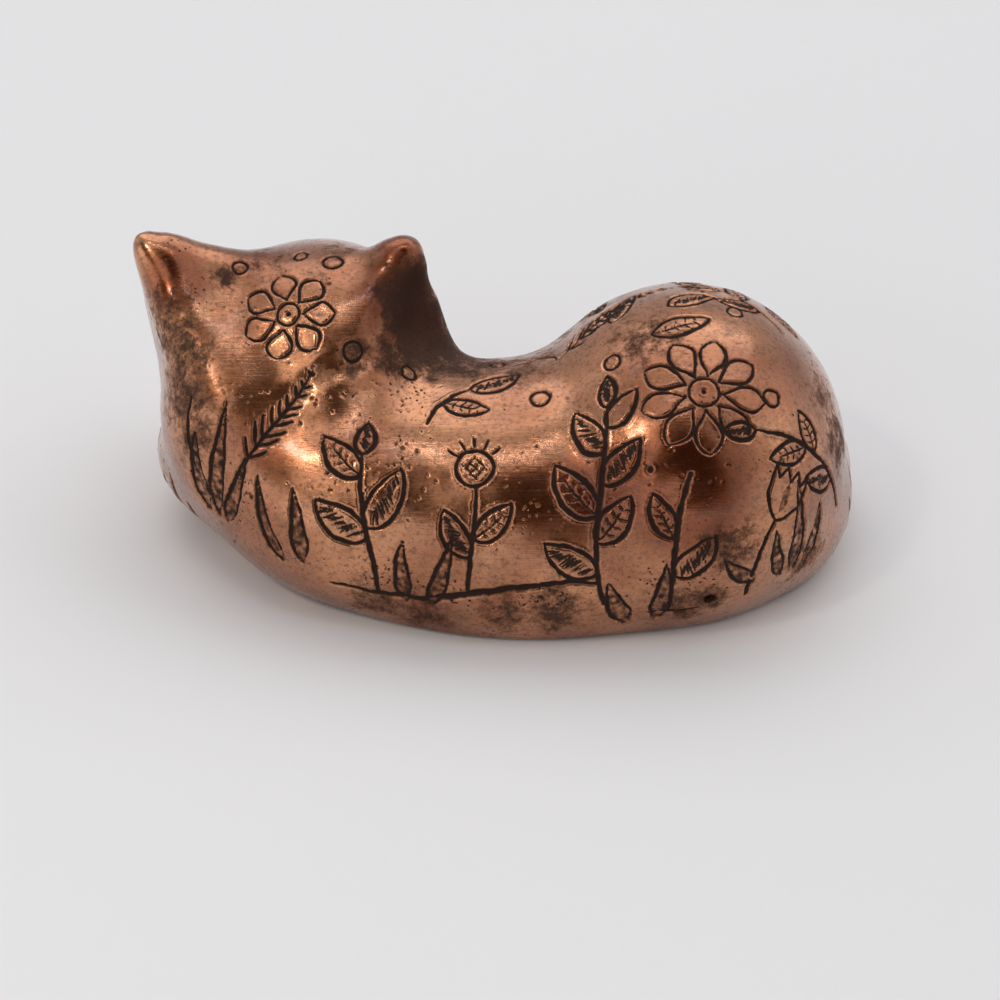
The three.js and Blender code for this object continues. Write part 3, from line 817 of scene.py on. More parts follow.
def target_lengths(points):
    """How long an edge may be: short at the cuts and longer away from them."""
    lengths = np.empty(len(points))
    for n, point in enumerate(points):
        _, index, gap = sample_tree.find(point)
        gap = max(0.0, gap - samples[index, 3])
        for tip in ear_tips:
            gap = min(gap, GROW_FROM + max(0.0, (Vector(point) - tip).length - TIP_FINE) * TIP_SHARE)
        lengths[n] = FINE + (COARSE - FINE) * min(1.0, max(0.0, (gap - GROW_FROM) / (GROW_TO - GROW_FROM)))
    return lengths


def edges_of(faces):
    return np.sort(np.concatenate([faces[:, (0, 1)], faces[:, (1, 2)], faces[:, (2, 0)]]), axis=1)


def refine(points, faces, skinned):
    """Splits the skin's edges in half until each is short enough, and its faces with them, leaving no gap."""
    for _ in range(8):
        pairs, index = np.unique(edges_of(faces), axis=0, return_inverse=True)
        index = index.reshape(3, -1).T
        movable = np.zeros(len(pairs), bool)
        movable[index[skinned].reshape(-1)] = True
        long = np.linalg.norm(points[pairs[:, 0]] - points[pairs[:, 1]], axis=1)
        maybe = np.nonzero(movable & (long > FINE * TOO_LONG))[0]
        middles = (points[pairs[maybe, 0]] + points[pairs[maybe, 1]]) / 2
        split = maybe[long[maybe] > target_lengths(middles) * TOO_LONG]
        if len(split) == 0:
            break
        whole = np.bincount(index[~skinned].reshape(-1), minlength=len(pairs)) > 0
        outer = np.bincount(index[skinned].reshape(-1), minlength=len(pairs)) > 0
        rim = (whole & outer)[split]
        fresh = (points[pairs[split, 0]] + points[pairs[split, 1]]) / 2
        fresh = settle(fresh, 2, rim & (fresh[:, 2] < FOOT + 0.01))
        number = np.full(len(pairs), -1)
        number[split] = len(points) + np.arange(len(split))
        points = np.vstack([points, fresh])
        made, kept = [], []
        ab, bc, ca = (number[index[:, n]] for n in range(3))
        a, b, c = faces.T
        cases = (ab >= 0) * 1 + (bc >= 0) * 2 + (ca >= 0) * 4
        patterns = {
            0: [(a, b, c)],
            1: [(a, ab, c), (ab, b, c)],
            2: [(a, b, bc), (a, bc, c)],
            4: [(a, b, ca), (ca, b, c)],
            3: [(a, ab, c), (ab, bc, c), (ab, b, bc)],
            6: [(a, b, bc), (a, bc, ca), (ca, bc, c)],
            5: [(a, ab, ca), (ab, b, ca), (b, c, ca)],
            7: [(a, ab, ca), (ab, b, bc), (ca, bc, c), (ab, bc, ca)],
        }
        for case, triples in patterns.items():
            chosen = cases == case
            for triple in triples:
                made.append(np.column_stack([corner[chosen] for corner in triple]))
                kept.append(skinned[chosen])
        faces, skinned = np.vstack(made), np.concatenate(kept)
    return points, faces, skinned


def skin_spots(spots):
    """Pixels on the picture with what follows them, as places on the skin with the same."""
    return [(tuple(seen(*pixel)), *rest) for pixel, *rest in spots.values()]


# Shallow hollows worked into the casting beside the cuts. Each has its pixel, its radius and its depth.
DENTS = {"right_ear_upper": ((412, 318), 8.0, 0.9), "right_ear_lower": ((418, 350), 6.5, 0.6)}
CREASE_LINE = ((376, 352), (360, 360), (344, 366), (328, 371), (312, 380), (298, 391), (286, 402))
CREASE_RADIUS, CREASE_DEPTH, CREASE_FADE = 2.6, 0.5, 0.05

# Dark patches on the copper: tarnish, and painted shade where they fill the ears' hollows, the crease between
# head and shoulder, the neck, the saddle and the copper along the foot. Each spot has its pixel, its radius
# and its strength.
TARNISH_AND_SHADE_SPOTS = {
    "right_ear_upper": ((414, 296), 8.5, 1.5), "right_ear_lower": ((422, 330), 9.0, 1.7),
    "right_ear_foot": ((440, 352), 9.0, 1.4), "neck": ((468, 364), 10.0, 1.1),
    "behind_right_ear": ((392, 352), 5.0, 1.2), "left_ear_edge": ((158, 300), 5.0, 0.9),
    "left_ear_lower": ((170, 330), 7.0, 1.0), "left_ear_foot": ((184, 352), 7.0, 1.0),
    "left_cheek": ((184, 390), 9.0, 1.0), "chest": ((196, 430), 7.0, 0.9),
    "left_ear_middle": ((178, 300), 4.0, 1.0), "left_ear_crown": ((226, 277), 3.4, 1.0),
    "crown_left": ((258, 262), 7.0, 0.7), "crown_right": ((340, 252), 9.0, 0.6),
    "crease_ring": ((352, 352), 3.4, 1.2), "crease_right": ((352, 366), 3.0, 1.1),
    "crease_middle": ((326, 376), 2.6, 1.0), "crease_left": ((300, 392), 2.4, 0.8),
    "saddle": ((520, 366), 9.0, 0.8), "rump_top": ((645, 336), 8.0, 0.9),
    "foot_below_seed": ((508, 616), 6.0, 0.9), "foot_below_flank": ((556, 610), 6.5, 1.1),
    "foot_below_shoulder": ((372, 600), 6.0, 1.0), "foot_by_grass": ((424, 614), 6.0, 1.0),
    "foot_before_vent": ((684, 606), 6.0, 1.0), "foot_after_vent": ((728, 548), 6.0, 1.0),
    "foot_below_end": ((806, 556), 6.0, 1.0), "end_lower": ((838, 440), 7.0, 1.0),
    "end_upper": ((826, 400), 7.0, 0.8), "saddle_rise": ((560, 344), 9.0, 0.7),
    "rump_crest": ((640, 310), 12.0, 0.5),
}
# The same round the vent hole and on the hidden side, by x and angle.
VENT_STAIN = (tuple(VENT), 4.0, 1.2)
HIDDEN_STAINS = ((10, 120, 12.0, 0.8), (-12, 130, 12.0, 0.9), (36, 140, 11.0, 0.7))

# Painted dark reflection: the copper is painted a deeper red-brown where the flank below the rump and the
# faces of the ears mirror the dark front of the room.
PAINTED_DARK_REFLECTION = {
    "rump_flank": ((680, 492), 12.0, 1.0), "middle_flank": ((610, 486), 9.0, 0.8),
    "shoulder_flank": ((540, 492), 8.0, 0.5), "right_ear_tip": ((406, 262), 7.0, 1.0),
    "right_ear_face": ((392, 300), 7.0, 0.8), "left_ear_face": ((176, 276), 6.0, 1.0),
}

dents = skin_spots(DENTS)
for n, pixel in enumerate(CREASE_LINE):
    dents.append((tuple(seen(*pixel)), CREASE_RADIUS, CREASE_DEPTH - CREASE_FADE * n))
tarnish_and_shade_spots = [*skin_spots(TARNISH_AND_SHADE_SPOTS), VENT_STAIN, *shades]
tarnish_and_shade_spots += [(tuple(over(x, angle)), radius, strength) for x, angle, radius, strength in HIDDEN_STAINS]


def dented(points):
    """How deep the hollows are: the right ear's outer side, and the crease between head and shoulder."""
    depth = np.zeros(len(points))
    for middle, radius, deep in dents:
        away = np.linalg.norm(points - np.array(middle), axis=1) / radius
        depth -= deep * np.maximum(0, 1 - away**2) ** 2
    return depth


def spread(points, spots):
    """How strongly the spots reach each point. Each spot has its middle, its radius and its strength."""
    reached = np.zeros(len(points))
    for middle, radius, strength in spots:
        away = np.linalg.norm(points - np.array(middle), axis=1) / radius
        reached = np.maximum(reached, strength * np.maximum(0, 1 - away**2))
    return reached


def soften_tips(points, faces):
    """Smooths the ears' tips, fading out down the ears."""
    away = np.min([np.linalg.norm(points - np.array(tip), axis=1) for tip in ear_tips], axis=0)
    share = 0.5 * (1 - smooth_step(away, TIP_FINE, TIP_END))[:, None]
    pairs = np.unique(edges_of(faces), axis=0)
    pairs = pairs[(away[pairs] < TIP_END + 1.0).any(axis=1)]
    ends, others = np.concatenate([pairs[:, 0], pairs[:, 1]]), np.concatenate([pairs[:, 1], pairs[:, 0]])
    count = np.maximum(np.bincount(ends, minlength=len(points)), 1)
    for _ in range(TIP_ROUNDS):
        total = [np.bincount(ends, points[others, axis], len(points)) for axis in range(3)]
        mean = np.stack(total, axis=1) / count[:, None]
        points = points + share * np.where(share > 0, mean - points, 0)
    return points


# No cut is felt further from its middle line, and how high and how wide a burr stands beside it.
WIDEST = 1.7
BURR, BURR_AT, BURR_WIDE = 0.08, 1.25, 0.45


def carve(points):
    """How far each point sinks below the skin or stands up from it, and how dark the cut is there."""
    height = np.zeros(len(points))
    engraved = np.zeros(len(points))
    for n, point in enumerate(points):
        best, mark = None, 0
        for _, index, gap in sample_tree.find_range(point, WIDEST):
            half = samples[index, 3]
            if gap < half * 1.7 + 0.1:
                share = gap / half
                if best is None or share < best:
                    best, mark = share, index
        if best is None:
            continue
        half, depth, flat = samples[mark, 3:]
        if flat:
            floor = 1 - min(1.0, best) ** 5
            floor *= 0.72 + 0.4 * noise.noise(Vector(point) * 1.7)
            dark = 0.34 + 0.3 * noise.noise(Vector(point) * 1.2)
        else:
            floor = max(0.0, 1 - best) ** 0.85
            dark = max(0.0, 1.12 - best) / 1.12
        # Only a broad cut raises a burr.
        broad = min(1.0, max(0.0, half - 0.22) / 0.15)
        burr = BURR * max(0.0, 1 - abs(best - BURR_AT) / BURR_WIDE) * broad
        height[n] = burr - depth * floor
        engraved[n] = dark if not flat or best < 1 else 0.0
    return height, engraved


def swells(points):
    """The unevenness of a cast and hand-rubbed surface."""
    height = np.empty(len(points))
    for n, (x, y, z) in enumerate(points):
        broad = noise.noise(Vector((x, y, z)) * 0.13)
        middle = noise.noise(Vector((x, y + 90, z)) * 0.3)
        small = noise.noise(Vector((x + 40, y, z)) * 0.6)
        height[n] = 0.12 * broad + 0.035 * middle + 0.016 * small
    return height


def build_casting():
    """The finished casting: the CAD casting's closed body, its skin made smooth, refined and engraved."""
    points = cast_points.copy()
    skinned = skin_faces.copy()
    skin_points = np.zeros(len(points), bool)
    skin_points[cast_faces[skinned].reshape(-1)] = True
    other_points = np.zeros(len(points), bool)
    other_points[cast_faces[~skinned].reshape(-1)] = True
    rim = skin_points & other_points
    flat = rim & (points[:, 2] < FOOT + 0.01)
    settled = settle(points[skin_points], 3, flat[skin_points])
    settled[flat[skin_points], 2] = points[flat, 2]
    points[skin_points] = settled
    points, faces, skinned = refine(points, cast_faces, skinned)
    points = soften_tips(points, faces)
    mine = np.zeros(len(points), bool)
    mine[faces[skinned].reshape(-1)] = True
    place = points[mine]
    normals = out_of(place)
    height, engraved = carve(place)
    fade = smooth_step(place[:, 2], FOOT, FOOT + 1.0)
    hole = smooth_step(np.linalg.norm(place - np.array(VENT), axis=1), VENT_RADIUS, VENT_CLEAR)
    bulge = roundness(place, ROUND_REACH)
    lift = (height + swells(place) + dented(place)) * fade * hole
    points[mine] = place + normals * lift[:, None]
    attributes = {name: np.zeros(len(points)) for name in ("engraved", "hollow", "crest", "tarnish_and_shade", "painted_dark_reflection")}
    attributes["engraved"][mine] = engraved * fade * hole
    attributes["hollow"][mine] = smooth_step(-bulge, -0.03, 0.16)
    attributes["crest"][mine] = smooth_step(bulge, 0.16, 0.55)
    # Tarnish and painted shade: dark patches that also stand in for shade in the ears' hollows, the crease,
    # the neck, the saddle and along the foot.
    attributes["tarnish_and_shade"][mine] = spread(place, tarnish_and_shade_spots)
    # Painted dark reflection: a deeper red-brown on the flank and the ears' faces.
    attributes["painted_dark_reflection"][mine] = spread(place, skin_spots(PAINTED_DARK_REFLECTION))
    attributes["hollow"][~mine] = 1.0
    return points, faces, skinned, attributes


def mesh_piece(name, points, faces, skinned, attributes):
    mesh = bpy.data.meshes.new(name)
    mesh.vertices.add(len(points))
    mesh.vertices.foreach_set("co", (points * MM).reshape(-1))
    mesh.loops.add(len(faces) * 3)
    mesh.loops.foreach_set("vertex_index", faces.reshape(-1).astype(np.int32))
    mesh.polygons.add(len(faces))
    mesh.polygons.foreach_set("loop_start", np.arange(0, len(faces) * 3, 3, dtype=np.int32))
    mesh.update(calc_edges=True)
    mesh.shade_smooth()
    ends = np.empty(len(mesh.edges) * 2, dtype=np.int32)
    mesh.edges.foreach_get("vertices", ends)
    inner, outer = np.zeros(len(points), bool), np.zeros(len(points), bool)
    inner[faces[~skinned].reshape(-1)] = True
    outer[faces[skinned].reshape(-1)] = True
    rim = (inner & outer)[ends.reshape(-1, 2)].all(axis=1)
    sharp = mesh.attributes.new("sharp_edge", "BOOLEAN", "EDGE")
    sharp.data.foreach_set("value", rim)
    for key, values in attributes.items():
        layer = mesh.attributes.new(key, "FLOAT", "POINT")
        layer.data.foreach_set("value", values.astype(np.float32))
    piece = bpy.data.objects.new(name, mesh)
    bpy.context.scene.collection.objects.link(piece)
    return piece


casting = mesh_piece("engraved_casting", *build_casting())
print(f"engraved_casting: {len(casting.data.polygons)} triangles, {len(cuts)} cuts, {len(samples)} samples")
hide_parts("cat_casting")
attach(casting, "root")


class Nodes:
    """Adds and links the nodes of one tree."""

    def __init__(self, tree):
        self.tree = tree

    def add(self, kind, inputs=None, **settings):
        node = self.tree.nodes.new(kind)
        for key, value in settings.items():
            setattr(node, key, value)
        for key, value in (inputs or {}).items():
            socket = node.inputs[key]
            if isinstance(value, bpy.types.NodeSocket):
                self.tree.links.new(value, socket)
            else:
                socket.default_value = value
        return node

    def math(self, operation, a, b, clamp=False):
        return self.add("ShaderNodeMath", {0: a, 1: b}, operation=operation, use_clamp=clamp).outputs[0]

    def ramp(self, value, low, high, to_low=0.0, to_high=1.0):
        inputs = {"Value": value, "From Min": low, "From Max": high, "To Min": to_low, "To Max": to_high}
        return self.add("ShaderNodeMapRange", inputs, interpolation_type="SMOOTHSTEP").outputs[0]

    def mix(self, factor, a, b):
        return self.add("ShaderNodeMix", {0: factor, 6: a, 7: b}, data_type="RGBA").outputs[2]

    def noise(self, place, scale, detail=4.0, rough=0.55):
        inputs = {"Vector": place, "Scale": scale, "Detail": detail, "Roughness": rough}
        return self.add("ShaderNodeTexNoise", inputs).outputs["Fac"]

    def cells(self, place, scale):
        return self.add("ShaderNodeTexVoronoi", {"Vector": place, "Scale": scale}).outputs["Distance"]

    def bump(self, height, strength, distance):
        inputs = {"Height": height, "Strength": strength, "Distance": distance}
        return self.add("ShaderNodeBump", inputs).outputs[0]

    def vector_math(self, operation, a, b=(0.0, 0.0, 0.0)):
        return self.add("ShaderNodeVectorMath", {0: a, 1: b}, operation=operation).outputs

    def group(self, tree, inputs):
        return self.add("ShaderNodeGroup", inputs, node_tree=tree).outputs

    def place(self):
        return self.add("ShaderNodeTexCoord").outputs["Object"]

    def attribute(self, name):
        return self.add("ShaderNodeAttribute", attribute_name=name).outputs["Fac"]


def new_group(name, inputs, outputs):
    """A shader node group with the given sockets: (name, kind, value)."""
    tree = bpy.data.node_groups.new(name, "ShaderNodeTree")
    for label, kind, value in inputs:
        socket = tree.interface.new_socket(name=label, in_out="INPUT", socket_type=kind)
        if value is not None:
            socket.default_value = value
    for label, kind in outputs:
        tree.interface.new_socket(name=label, in_out="OUTPUT", socket_type=kind)
    return tree, Nodes(tree)


COLOR, FLOAT, VECTOR = "NodeSocketColor", "NodeSocketFloat", "NodeSocketVector"

# Copper where it is rubbed bright and where it is warm with age, and both painted a darker red-brown as a
# dark reflection.
BRIGHT_COPPER, WARM_COPPER = (0.60, 0.265, 0.13, 1), (0.33, 0.115, 0.05, 1)
BRIGHT_IN_DARK_REFLECTION, WARM_IN_DARK_REFLECTION = (0.28, 0.068, 0.02, 1), (0.15, 0.032, 0.011, 1)
# The plate's copper is duller.
PLATE_BRIGHT, PLATE_WARM = (0.42, 0.17, 0.08, 1), (0.34, 0.12, 0.055, 1)


def copper_tone_group():
    """Copper whose colour drifts from bright to brown, and darkens where the mask says: tarnish, and on the
    casting also painted shade.
    """
    tree, n = new_group("copper_tone", [
        ("Place", VECTOR, None), ("Bright", COLOR, BRIGHT_COPPER), ("Warm", COLOR, WARM_COPPER),
        ("Brown", COLOR, (0.105, 0.042, 0.026, 1)), ("Tarnish_and_shade", COLOR, (0.027, 0.0125, 0.0085, 1)),
        ("Mask", FLOAT, 0.0), ("Drift", FLOAT, 75.0),
    ], [("Color", COLOR), ("Roughness", FLOAT), ("Metallic", FLOAT), ("Polish", FLOAT)])
    given = n.add("NodeGroupInput").outputs
    drift = n.ramp(n.noise(given["Place"], given["Drift"], 4.0, 0.6), 0.34, 0.64)
    blotch = n.ramp(n.noise(given["Place"], 300.0, 6.0, 0.7), 0.46, 0.70)
    grain = n.noise(given["Place"], 1500.0, 5.0, 0.8)
    tone = n.mix(drift, given["Warm"], given["Bright"])
    tone = n.mix(n.math("MULTIPLY", blotch, 0.5), tone, given["Brown"])
    tone = n.mix(n.ramp(grain, 0.48, 0.66, 0.0, 0.7), tone, given["Brown"])
    # The mask's dark colour is tarnish, and on the casting also painted shade.
    color = n.mix(given["Mask"], tone, given["Tarnish_and_shade"])
    uneven = n.math("MULTIPLY", n.math("ADD", blotch, grain), 0.07)
    rough = n.math("ADD", n.ramp(drift, 0.0, 1.0, 0.25, 0.16), uneven)
    rough = n.math("ADD", rough, n.math("MULTIPLY", given["Mask"], 0.42), True)
    metal = n.ramp(given["Mask"], 0.15, 0.85, 1.0, 0.0)
    polish = n.ramp(given["Mask"], 0.1, 0.6, 0.6, 0.0)
    n.add("NodeGroupOutput", {"Color": color, "Roughness": rough, "Metallic": metal, "Polish": polish})
    return tree


def rubbed_group():
    """Fine lines left by rubbing, mostly one way, and small pits in clusters."""
    tree, n = new_group(
        "rubbed_lines", [("Place", VECTOR, None), ("Lines", FLOAT, 1.0), ("Pits", FLOAT, 1.0)],
        [("Height", FLOAT), ("Pitted", FLOAT), ("Brushed", FLOAT)])
    given = n.add("NodeGroupInput").outputs
    stretched = n.vector_math("MULTIPLY", given["Place"], (120.0, 2600.0, 4200.0))[0]
    lines = n.noise(stretched, 1.0, 3.0, 0.6)
    where = n.ramp(n.noise(given["Place"], 130.0, 3.0, 0.6), 0.52, 0.68)
    fine, few = n.cells(given["Place"], 1100.0), n.cells(given["Place"], 420.0)
    pits = n.math("MAXIMUM", n.ramp(fine, 0.26, 0.14), n.ramp(few, 0.20, 0.10))
    pits = n.math("MULTIPLY", n.math("MULTIPLY", pits, where), given["Pits"])
    height = n.math("SUBTRACT", n.math("MULTIPLY", lines, given["Lines"]), n.math("MULTIPLY", pits, 4.0))
    n.add("NodeGroupOutput", {"Height": height, "Pitted": pits, "Brushed": n.ramp(lines, 0.5, 0.72)})
    return tree


copper_tone = copper_tone_group()
rubbed_lines = rubbed_group()


def new_material(name):
    material = bpy.data.materials.new(name)
    material.use_nodes = True
    material.node_tree.nodes.clear()
    return material, Nodes(material.node_tree)


def finish_material(n, surface):
    n.add("ShaderNodeOutputMaterial", {"Surface": surface.outputs[0]})


def cast_copper():
    """Polished cast copper, brown-black in its cuts, hollows and pits, with tarnish and painted shade in dark
    patches and a painted dark reflection in deeper red-brown. The bright copper is lacquered.
    """
    material, n = new_material("cast_copper")
    place = n.place()
    fray = n.noise(place, 1500.0, 4.0, 0.65)
    engraved = n.math("ADD", n.attribute("engraved"), n.math("MULTIPLY", n.math("SUBTRACT", fray, 0.5), 0.34))
    in_cuts = n.ramp(engraved, 0.12, 0.52)
    cloud = n.math("SUBTRACT", n.noise(place, 420.0, 8.0, 0.82), 0.5)
    # Dark patches: tarnish, and painted shade in the ears' hollows, the crease, the neck, the saddle and
    # along the foot.
    tarnish_and_shade = n.ramp(n.math("ADD", n.attribute("tarnish_and_shade"), n.math("MULTIPLY", cloud, 3.6)), 0.35, 1.25)
    hollow = n.ramp(n.math("ADD", n.attribute("hollow"), n.math("MULTIPLY", cloud, 2.4)), 0.5, 1.3)
    rubbed = n.group(rubbed_lines, {"Place": place, "Lines": 1.0, "Pits": 1.0})
    mask = n.math("MAXIMUM", n.math("MULTIPLY", tarnish_and_shade, 0.92), n.math("MULTIPLY", hollow, 0.8))
    mask = n.math("SUBTRACT", mask, n.math("MULTIPLY", n.attribute("crest"), 0.3), True)
    mask = n.math("MAXIMUM", mask, n.math("MULTIPLY", rubbed["Brushed"], 0.2))
    mask = n.math("MAXIMUM", mask, n.math("MULTIPLY", rubbed["Pitted"], 0.9))
    mask = n.math("MAXIMUM", mask, in_cuts)
    # Painted dark reflection: the copper turns a deeper red-brown where the flank and the ears' faces mirror
    # the dark room.
    painted_dark_reflection = n.ramp(n.attribute("painted_dark_reflection"), 0.0, 0.8, 0.0, 0.85)
    bright, warm = n.mix(painted_dark_reflection, BRIGHT_COPPER, BRIGHT_IN_DARK_REFLECTION), n.mix(painted_dark_reflection, WARM_COPPER, WARM_IN_DARK_REFLECTION)
    tone = n.group(copper_tone, {"Place": place, "Bright": bright, "Warm": warm, "Mask": mask})
    bump = n.bump(rubbed["Height"], 0.6, 0.00003)
    surface = n.add("ShaderNodeBsdfPrincipled", {
        "Base Color": tone["Color"], "Roughness": tone["Roughness"], "Metallic": tone["Metallic"],
        "Normal": bump, "Specular IOR Level": 0.15,
        "Coat Weight": tone["Polish"], "Coat Roughness": 0.14, "Coat IOR": 1.5})
    finish_material(n, surface)
    return material


def brushed_copper():
    """The plate's sheet copper: brushed, and dull with handling."""
    material, n = new_material("plate_copper")
    place = n.place()
    rubbed = n.group(rubbed_lines, {"Place": place, "Lines": 1.6, "Pits": 0.3})
    mask = n.ramp(n.noise(place, 120.0, 5.0, 0.6), 0.42, 0.75, 0.0, 0.45)
    tone = n.group(copper_tone, {
        "Place": place, "Bright": PLATE_BRIGHT, "Warm": PLATE_WARM, "Mask": mask, "Drift": 60.0})
    bump = n.bump(rubbed["Height"], 0.5, 0.00003)
    surface = n.add("ShaderNodeBsdfPrincipled", {
        "Base Color": tone["Color"], "Roughness": tone["Roughness"], "Metallic": tone["Metallic"],
        "Normal": bump})
    finish_material(n, surface)
    return material


def black_felt():
    """Pressed wool felt, charcoal, with paler fibres through it."""
    material, n = new_material("felt")
    place = n.place()
    fibres = n.noise(place, 3800.0, 6.0, 0.75)
    clumps = n.noise(place, 420.0, 4.0, 0.6)
    tone = n.mix(n.ramp(fibres, 0.35, 0.7), (0.012, 0.011, 0.011, 1), (0.06, 0.056, 0.053, 1))
    tone = n.mix(n.ramp(clumps, 0.3, 0.7, 0.0, 0.5), tone, (0.02, 0.019, 0.018, 1))
    height = n.math("ADD", fibres, n.math("MULTIPLY", clumps, 0.6))
    surface = n.add("ShaderNodeBsdfPrincipled", {
        "Base Color": tone, "Roughness": 0.95, "Normal": n.bump(height, 0.8, 0.0001),
        "Sheen Weight": 0.3, "Sheen Roughness": 0.5})
    finish_material(n, surface)
    return material


casting.data.materials.append(cast_copper())
plate = nodes["base_plate"]
plate.data.materials.clear()
plate.data.materials.append(brushed_copper())
felt_finish = black_felt()


def outline_of(points):
    """The corners of a flat piece's outline in order round its middle."""
    flat = np.unique(np.round(points[:, :2], 3), axis=0)
    middle = flat.mean(axis=0)
    return flat[np.argsort(np.arctan2(*(flat - middle).T[::-1]))], middle


# From the felt's middle to its edge: shares of the way out, and how far the face draws in there.
FELT_PROFILE = ((0.2, 0.0), (0.45, 0.0), (0.72, 0.0), (0.96, 0.0), (0.985, 0.06), (0.995, 0.22))


def build_felt():
    """The felt sheet under the plate: cut along the same outline, with soft edges and an uneven face."""
    points, _ = merged_mesh("felt_pad")
    outline, middle = outline_of(points)
    low, high = points[:, 2].min(), points[:, 2].max()
    rings = [(share, low + inset) for share, inset in FELT_PROFILE]
    rings.append((1.0, (low + high) / 2))
    rings += [(share, high - inset) for share, inset in reversed(FELT_PROFILE)]
    corners, faces = [], []
    count = len(outline)
    for share, height in rings:
        for x, y in outline:
            stray = noise.noise(Vector((x, y, height)) * 0.9) * (0.12 if share > 0.9 else 0.0)
            x, y = middle + (np.array((x, y)) - middle) * share * (1 + stray * 0.01)
            lift = 0.05 * noise.noise(Vector((x, y, 0)) * 0.5) if height < low + 0.1 else 0.0
            corners.append((x, y, max(0.0, height + lift)))
    for n in range(len(rings) - 1):
        for m in range(count):
            after = (m + 1) % count
            a, b = n * count + m, n * count + after
            faces.append((a, b, b + count, a + count))
    for first, height, flip in ((0, rings[0][1], True), ((len(rings) - 1) * count, rings[-1][1], False)):
        corners.append((middle[0], middle[1], height))
        hub = len(corners) - 1
        for m in range(count):
            a, b = first + m, first + (m + 1) % count
            faces.append((b, a, hub) if flip else (a, b, hub))
    mesh = bpy.data.meshes.new("felt_sheet")
    mesh.from_pydata([tuple(c * MM for c in corner) for corner in corners], [], faces)
    mesh.shade_smooth()
    piece = bpy.data.objects.new("felt_sheet", mesh)
    bpy.context.scene.collection.objects.link(piece)
    piece.data.materials.append(felt_finish)
    edge = np.roll(outline, -1, axis=0)
    area = abs((outline[:, 0] * edge[:, 1] - outline[:, 1] * edge[:, 0]).sum()) / 2
    size = outline.max(axis=0) - outline.min(axis=0)
    return piece, outline, size, area


felt, felt_outline, felt_size, felt_area = build_felt()
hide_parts("felt_pad")
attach(felt, "root")


# The stray fibres of the felt, in metres, and the seed that they are laid with.
FIBRES = (
    ("Spacing", FLOAT, 0.00055), ("Length", FLOAT, 0.0008), ("Thickness", FLOAT, 0.000022),
    ("Seed", "NodeSocketInt", 5),
)
# How far a fibre turns either way about its own three axes.
FIBRE_TURN = (0.25, 1.5, 1.0)


def stray_fibres():
    """Short wool fibres that stand out from the felt's cut edge, laid along it by a Geometry Nodes tree."""
    curve = bpy.data.meshes.new("felt_edge")
    count = len(felt_outline)
    corners = [(x * MM, y * MM, FOOT * MM * 0.6) for x, y in felt_outline]
    curve.from_pydata(corners, [(n, (n + 1) % count) for n in range(count)], [])
    piece = bpy.data.objects.new("felt_fibres", curve)
    bpy.context.scene.collection.objects.link(piece)
    tree = bpy.data.node_groups.new("lay_fibres", "GeometryNodeTree")
    tree.interface.new_socket(name="Geometry", in_out="INPUT", socket_type="NodeSocketGeometry")
    values = {}
    for label, kind, value in FIBRES:
        socket = tree.interface.new_socket(name=label, in_out="INPUT", socket_type=kind)
        values[socket.identifier] = value
    tree.interface.new_socket(name="Geometry", in_out="OUTPUT", socket_type="NodeSocketGeometry")
    n = Nodes(tree)
    given = n.add("NodeGroupInput").outputs
    path = n.add("GeometryNodeMeshToCurve", {"Mesh": given["Geometry"]}).outputs[0]
    dots = n.add("GeometryNodeCurveToPoints", {"Curve": path, "Length": given["Spacing"]}, mode="LENGTH")
    out = n.vector_math("CROSS_PRODUCT", dots.outputs["Tangent"], tuple(UP))[0]
    facing = n.add("FunctionNodeAlignRotationToVector", {"Vector": out}, axis="Y").outputs[0]
    least = tuple(-most for most in FIBRE_TURN)
    turn = n.add("FunctionNodeRandomValue", {
        "Min": least, "Max": FIBRE_TURN, "Seed": given["Seed"]}, data_type="FLOAT_VECTOR")
    bent = n.add("FunctionNodeRotateRotation", {
        "Rotation": facing, "Rotate By": turn.outputs["Value"]}, rotation_space="LOCAL")
    size = n.add("FunctionNodeRandomValue", {2: 0.4, 3: 1.0, "Seed": given["Seed"]}, data_type="FLOAT")
    end = n.add("ShaderNodeCombineXYZ", {"X": 0.0, "Y": given["Length"], "Z": 0.0}).outputs[0]
    middle = n.add("ShaderNodeCombineXYZ", {
        "X": given["Thickness"], "Y": n.math("MULTIPLY", given["Length"], 0.5),
        "Z": n.math("MULTIPLY", given["Thickness"], 4.0)}).outputs[0]
    hair = n.add("GeometryNodeCurveQuadraticBezier", {
        "Resolution": 4, "Start": (0, 0, 0), "Middle": middle, "End": end}).outputs[0]
    section = n.add("GeometryNodeCurvePrimitiveCircle", {
        "Resolution": 3, "Radius": given["Thickness"]}).outputs[0]
    tube = n.add("GeometryNodeCurveToMesh", {
        "Curve": hair, "Profile Curve": section, "Fill Caps": True}).outputs[0]
    laid = n.add("GeometryNodeInstanceOnPoints", {
        "Points": dots.outputs["Points"], "Instance": tube, "Rotation": bent.outputs[0],
        "Scale": size.outputs[1]}).outputs[0]
    real = n.add("GeometryNodeRealizeInstances", {"Geometry": laid}).outputs[0]
    finished = n.add("GeometryNodeSetMaterial", {"Geometry": real, "Material": felt_finish}).outputs[0]
    n.add("NodeGroupOutput", {"Geometry": finished})
    modifier = piece.modifiers.new("fibres", "NODES")
    modifier.node_group = tree
    for identifier, value in values.items():
        modifier[identifier] = value
    evaluated = piece.evaluated_get(bpy.context.evaluated_depsgraph_get())
    mesh = bpy.data.meshes.new_from_object(evaluated)
    piece.modifiers.clear()
    piece.data = mesh
    return piece


fibres = stray_fibres()
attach(fibres, "root")


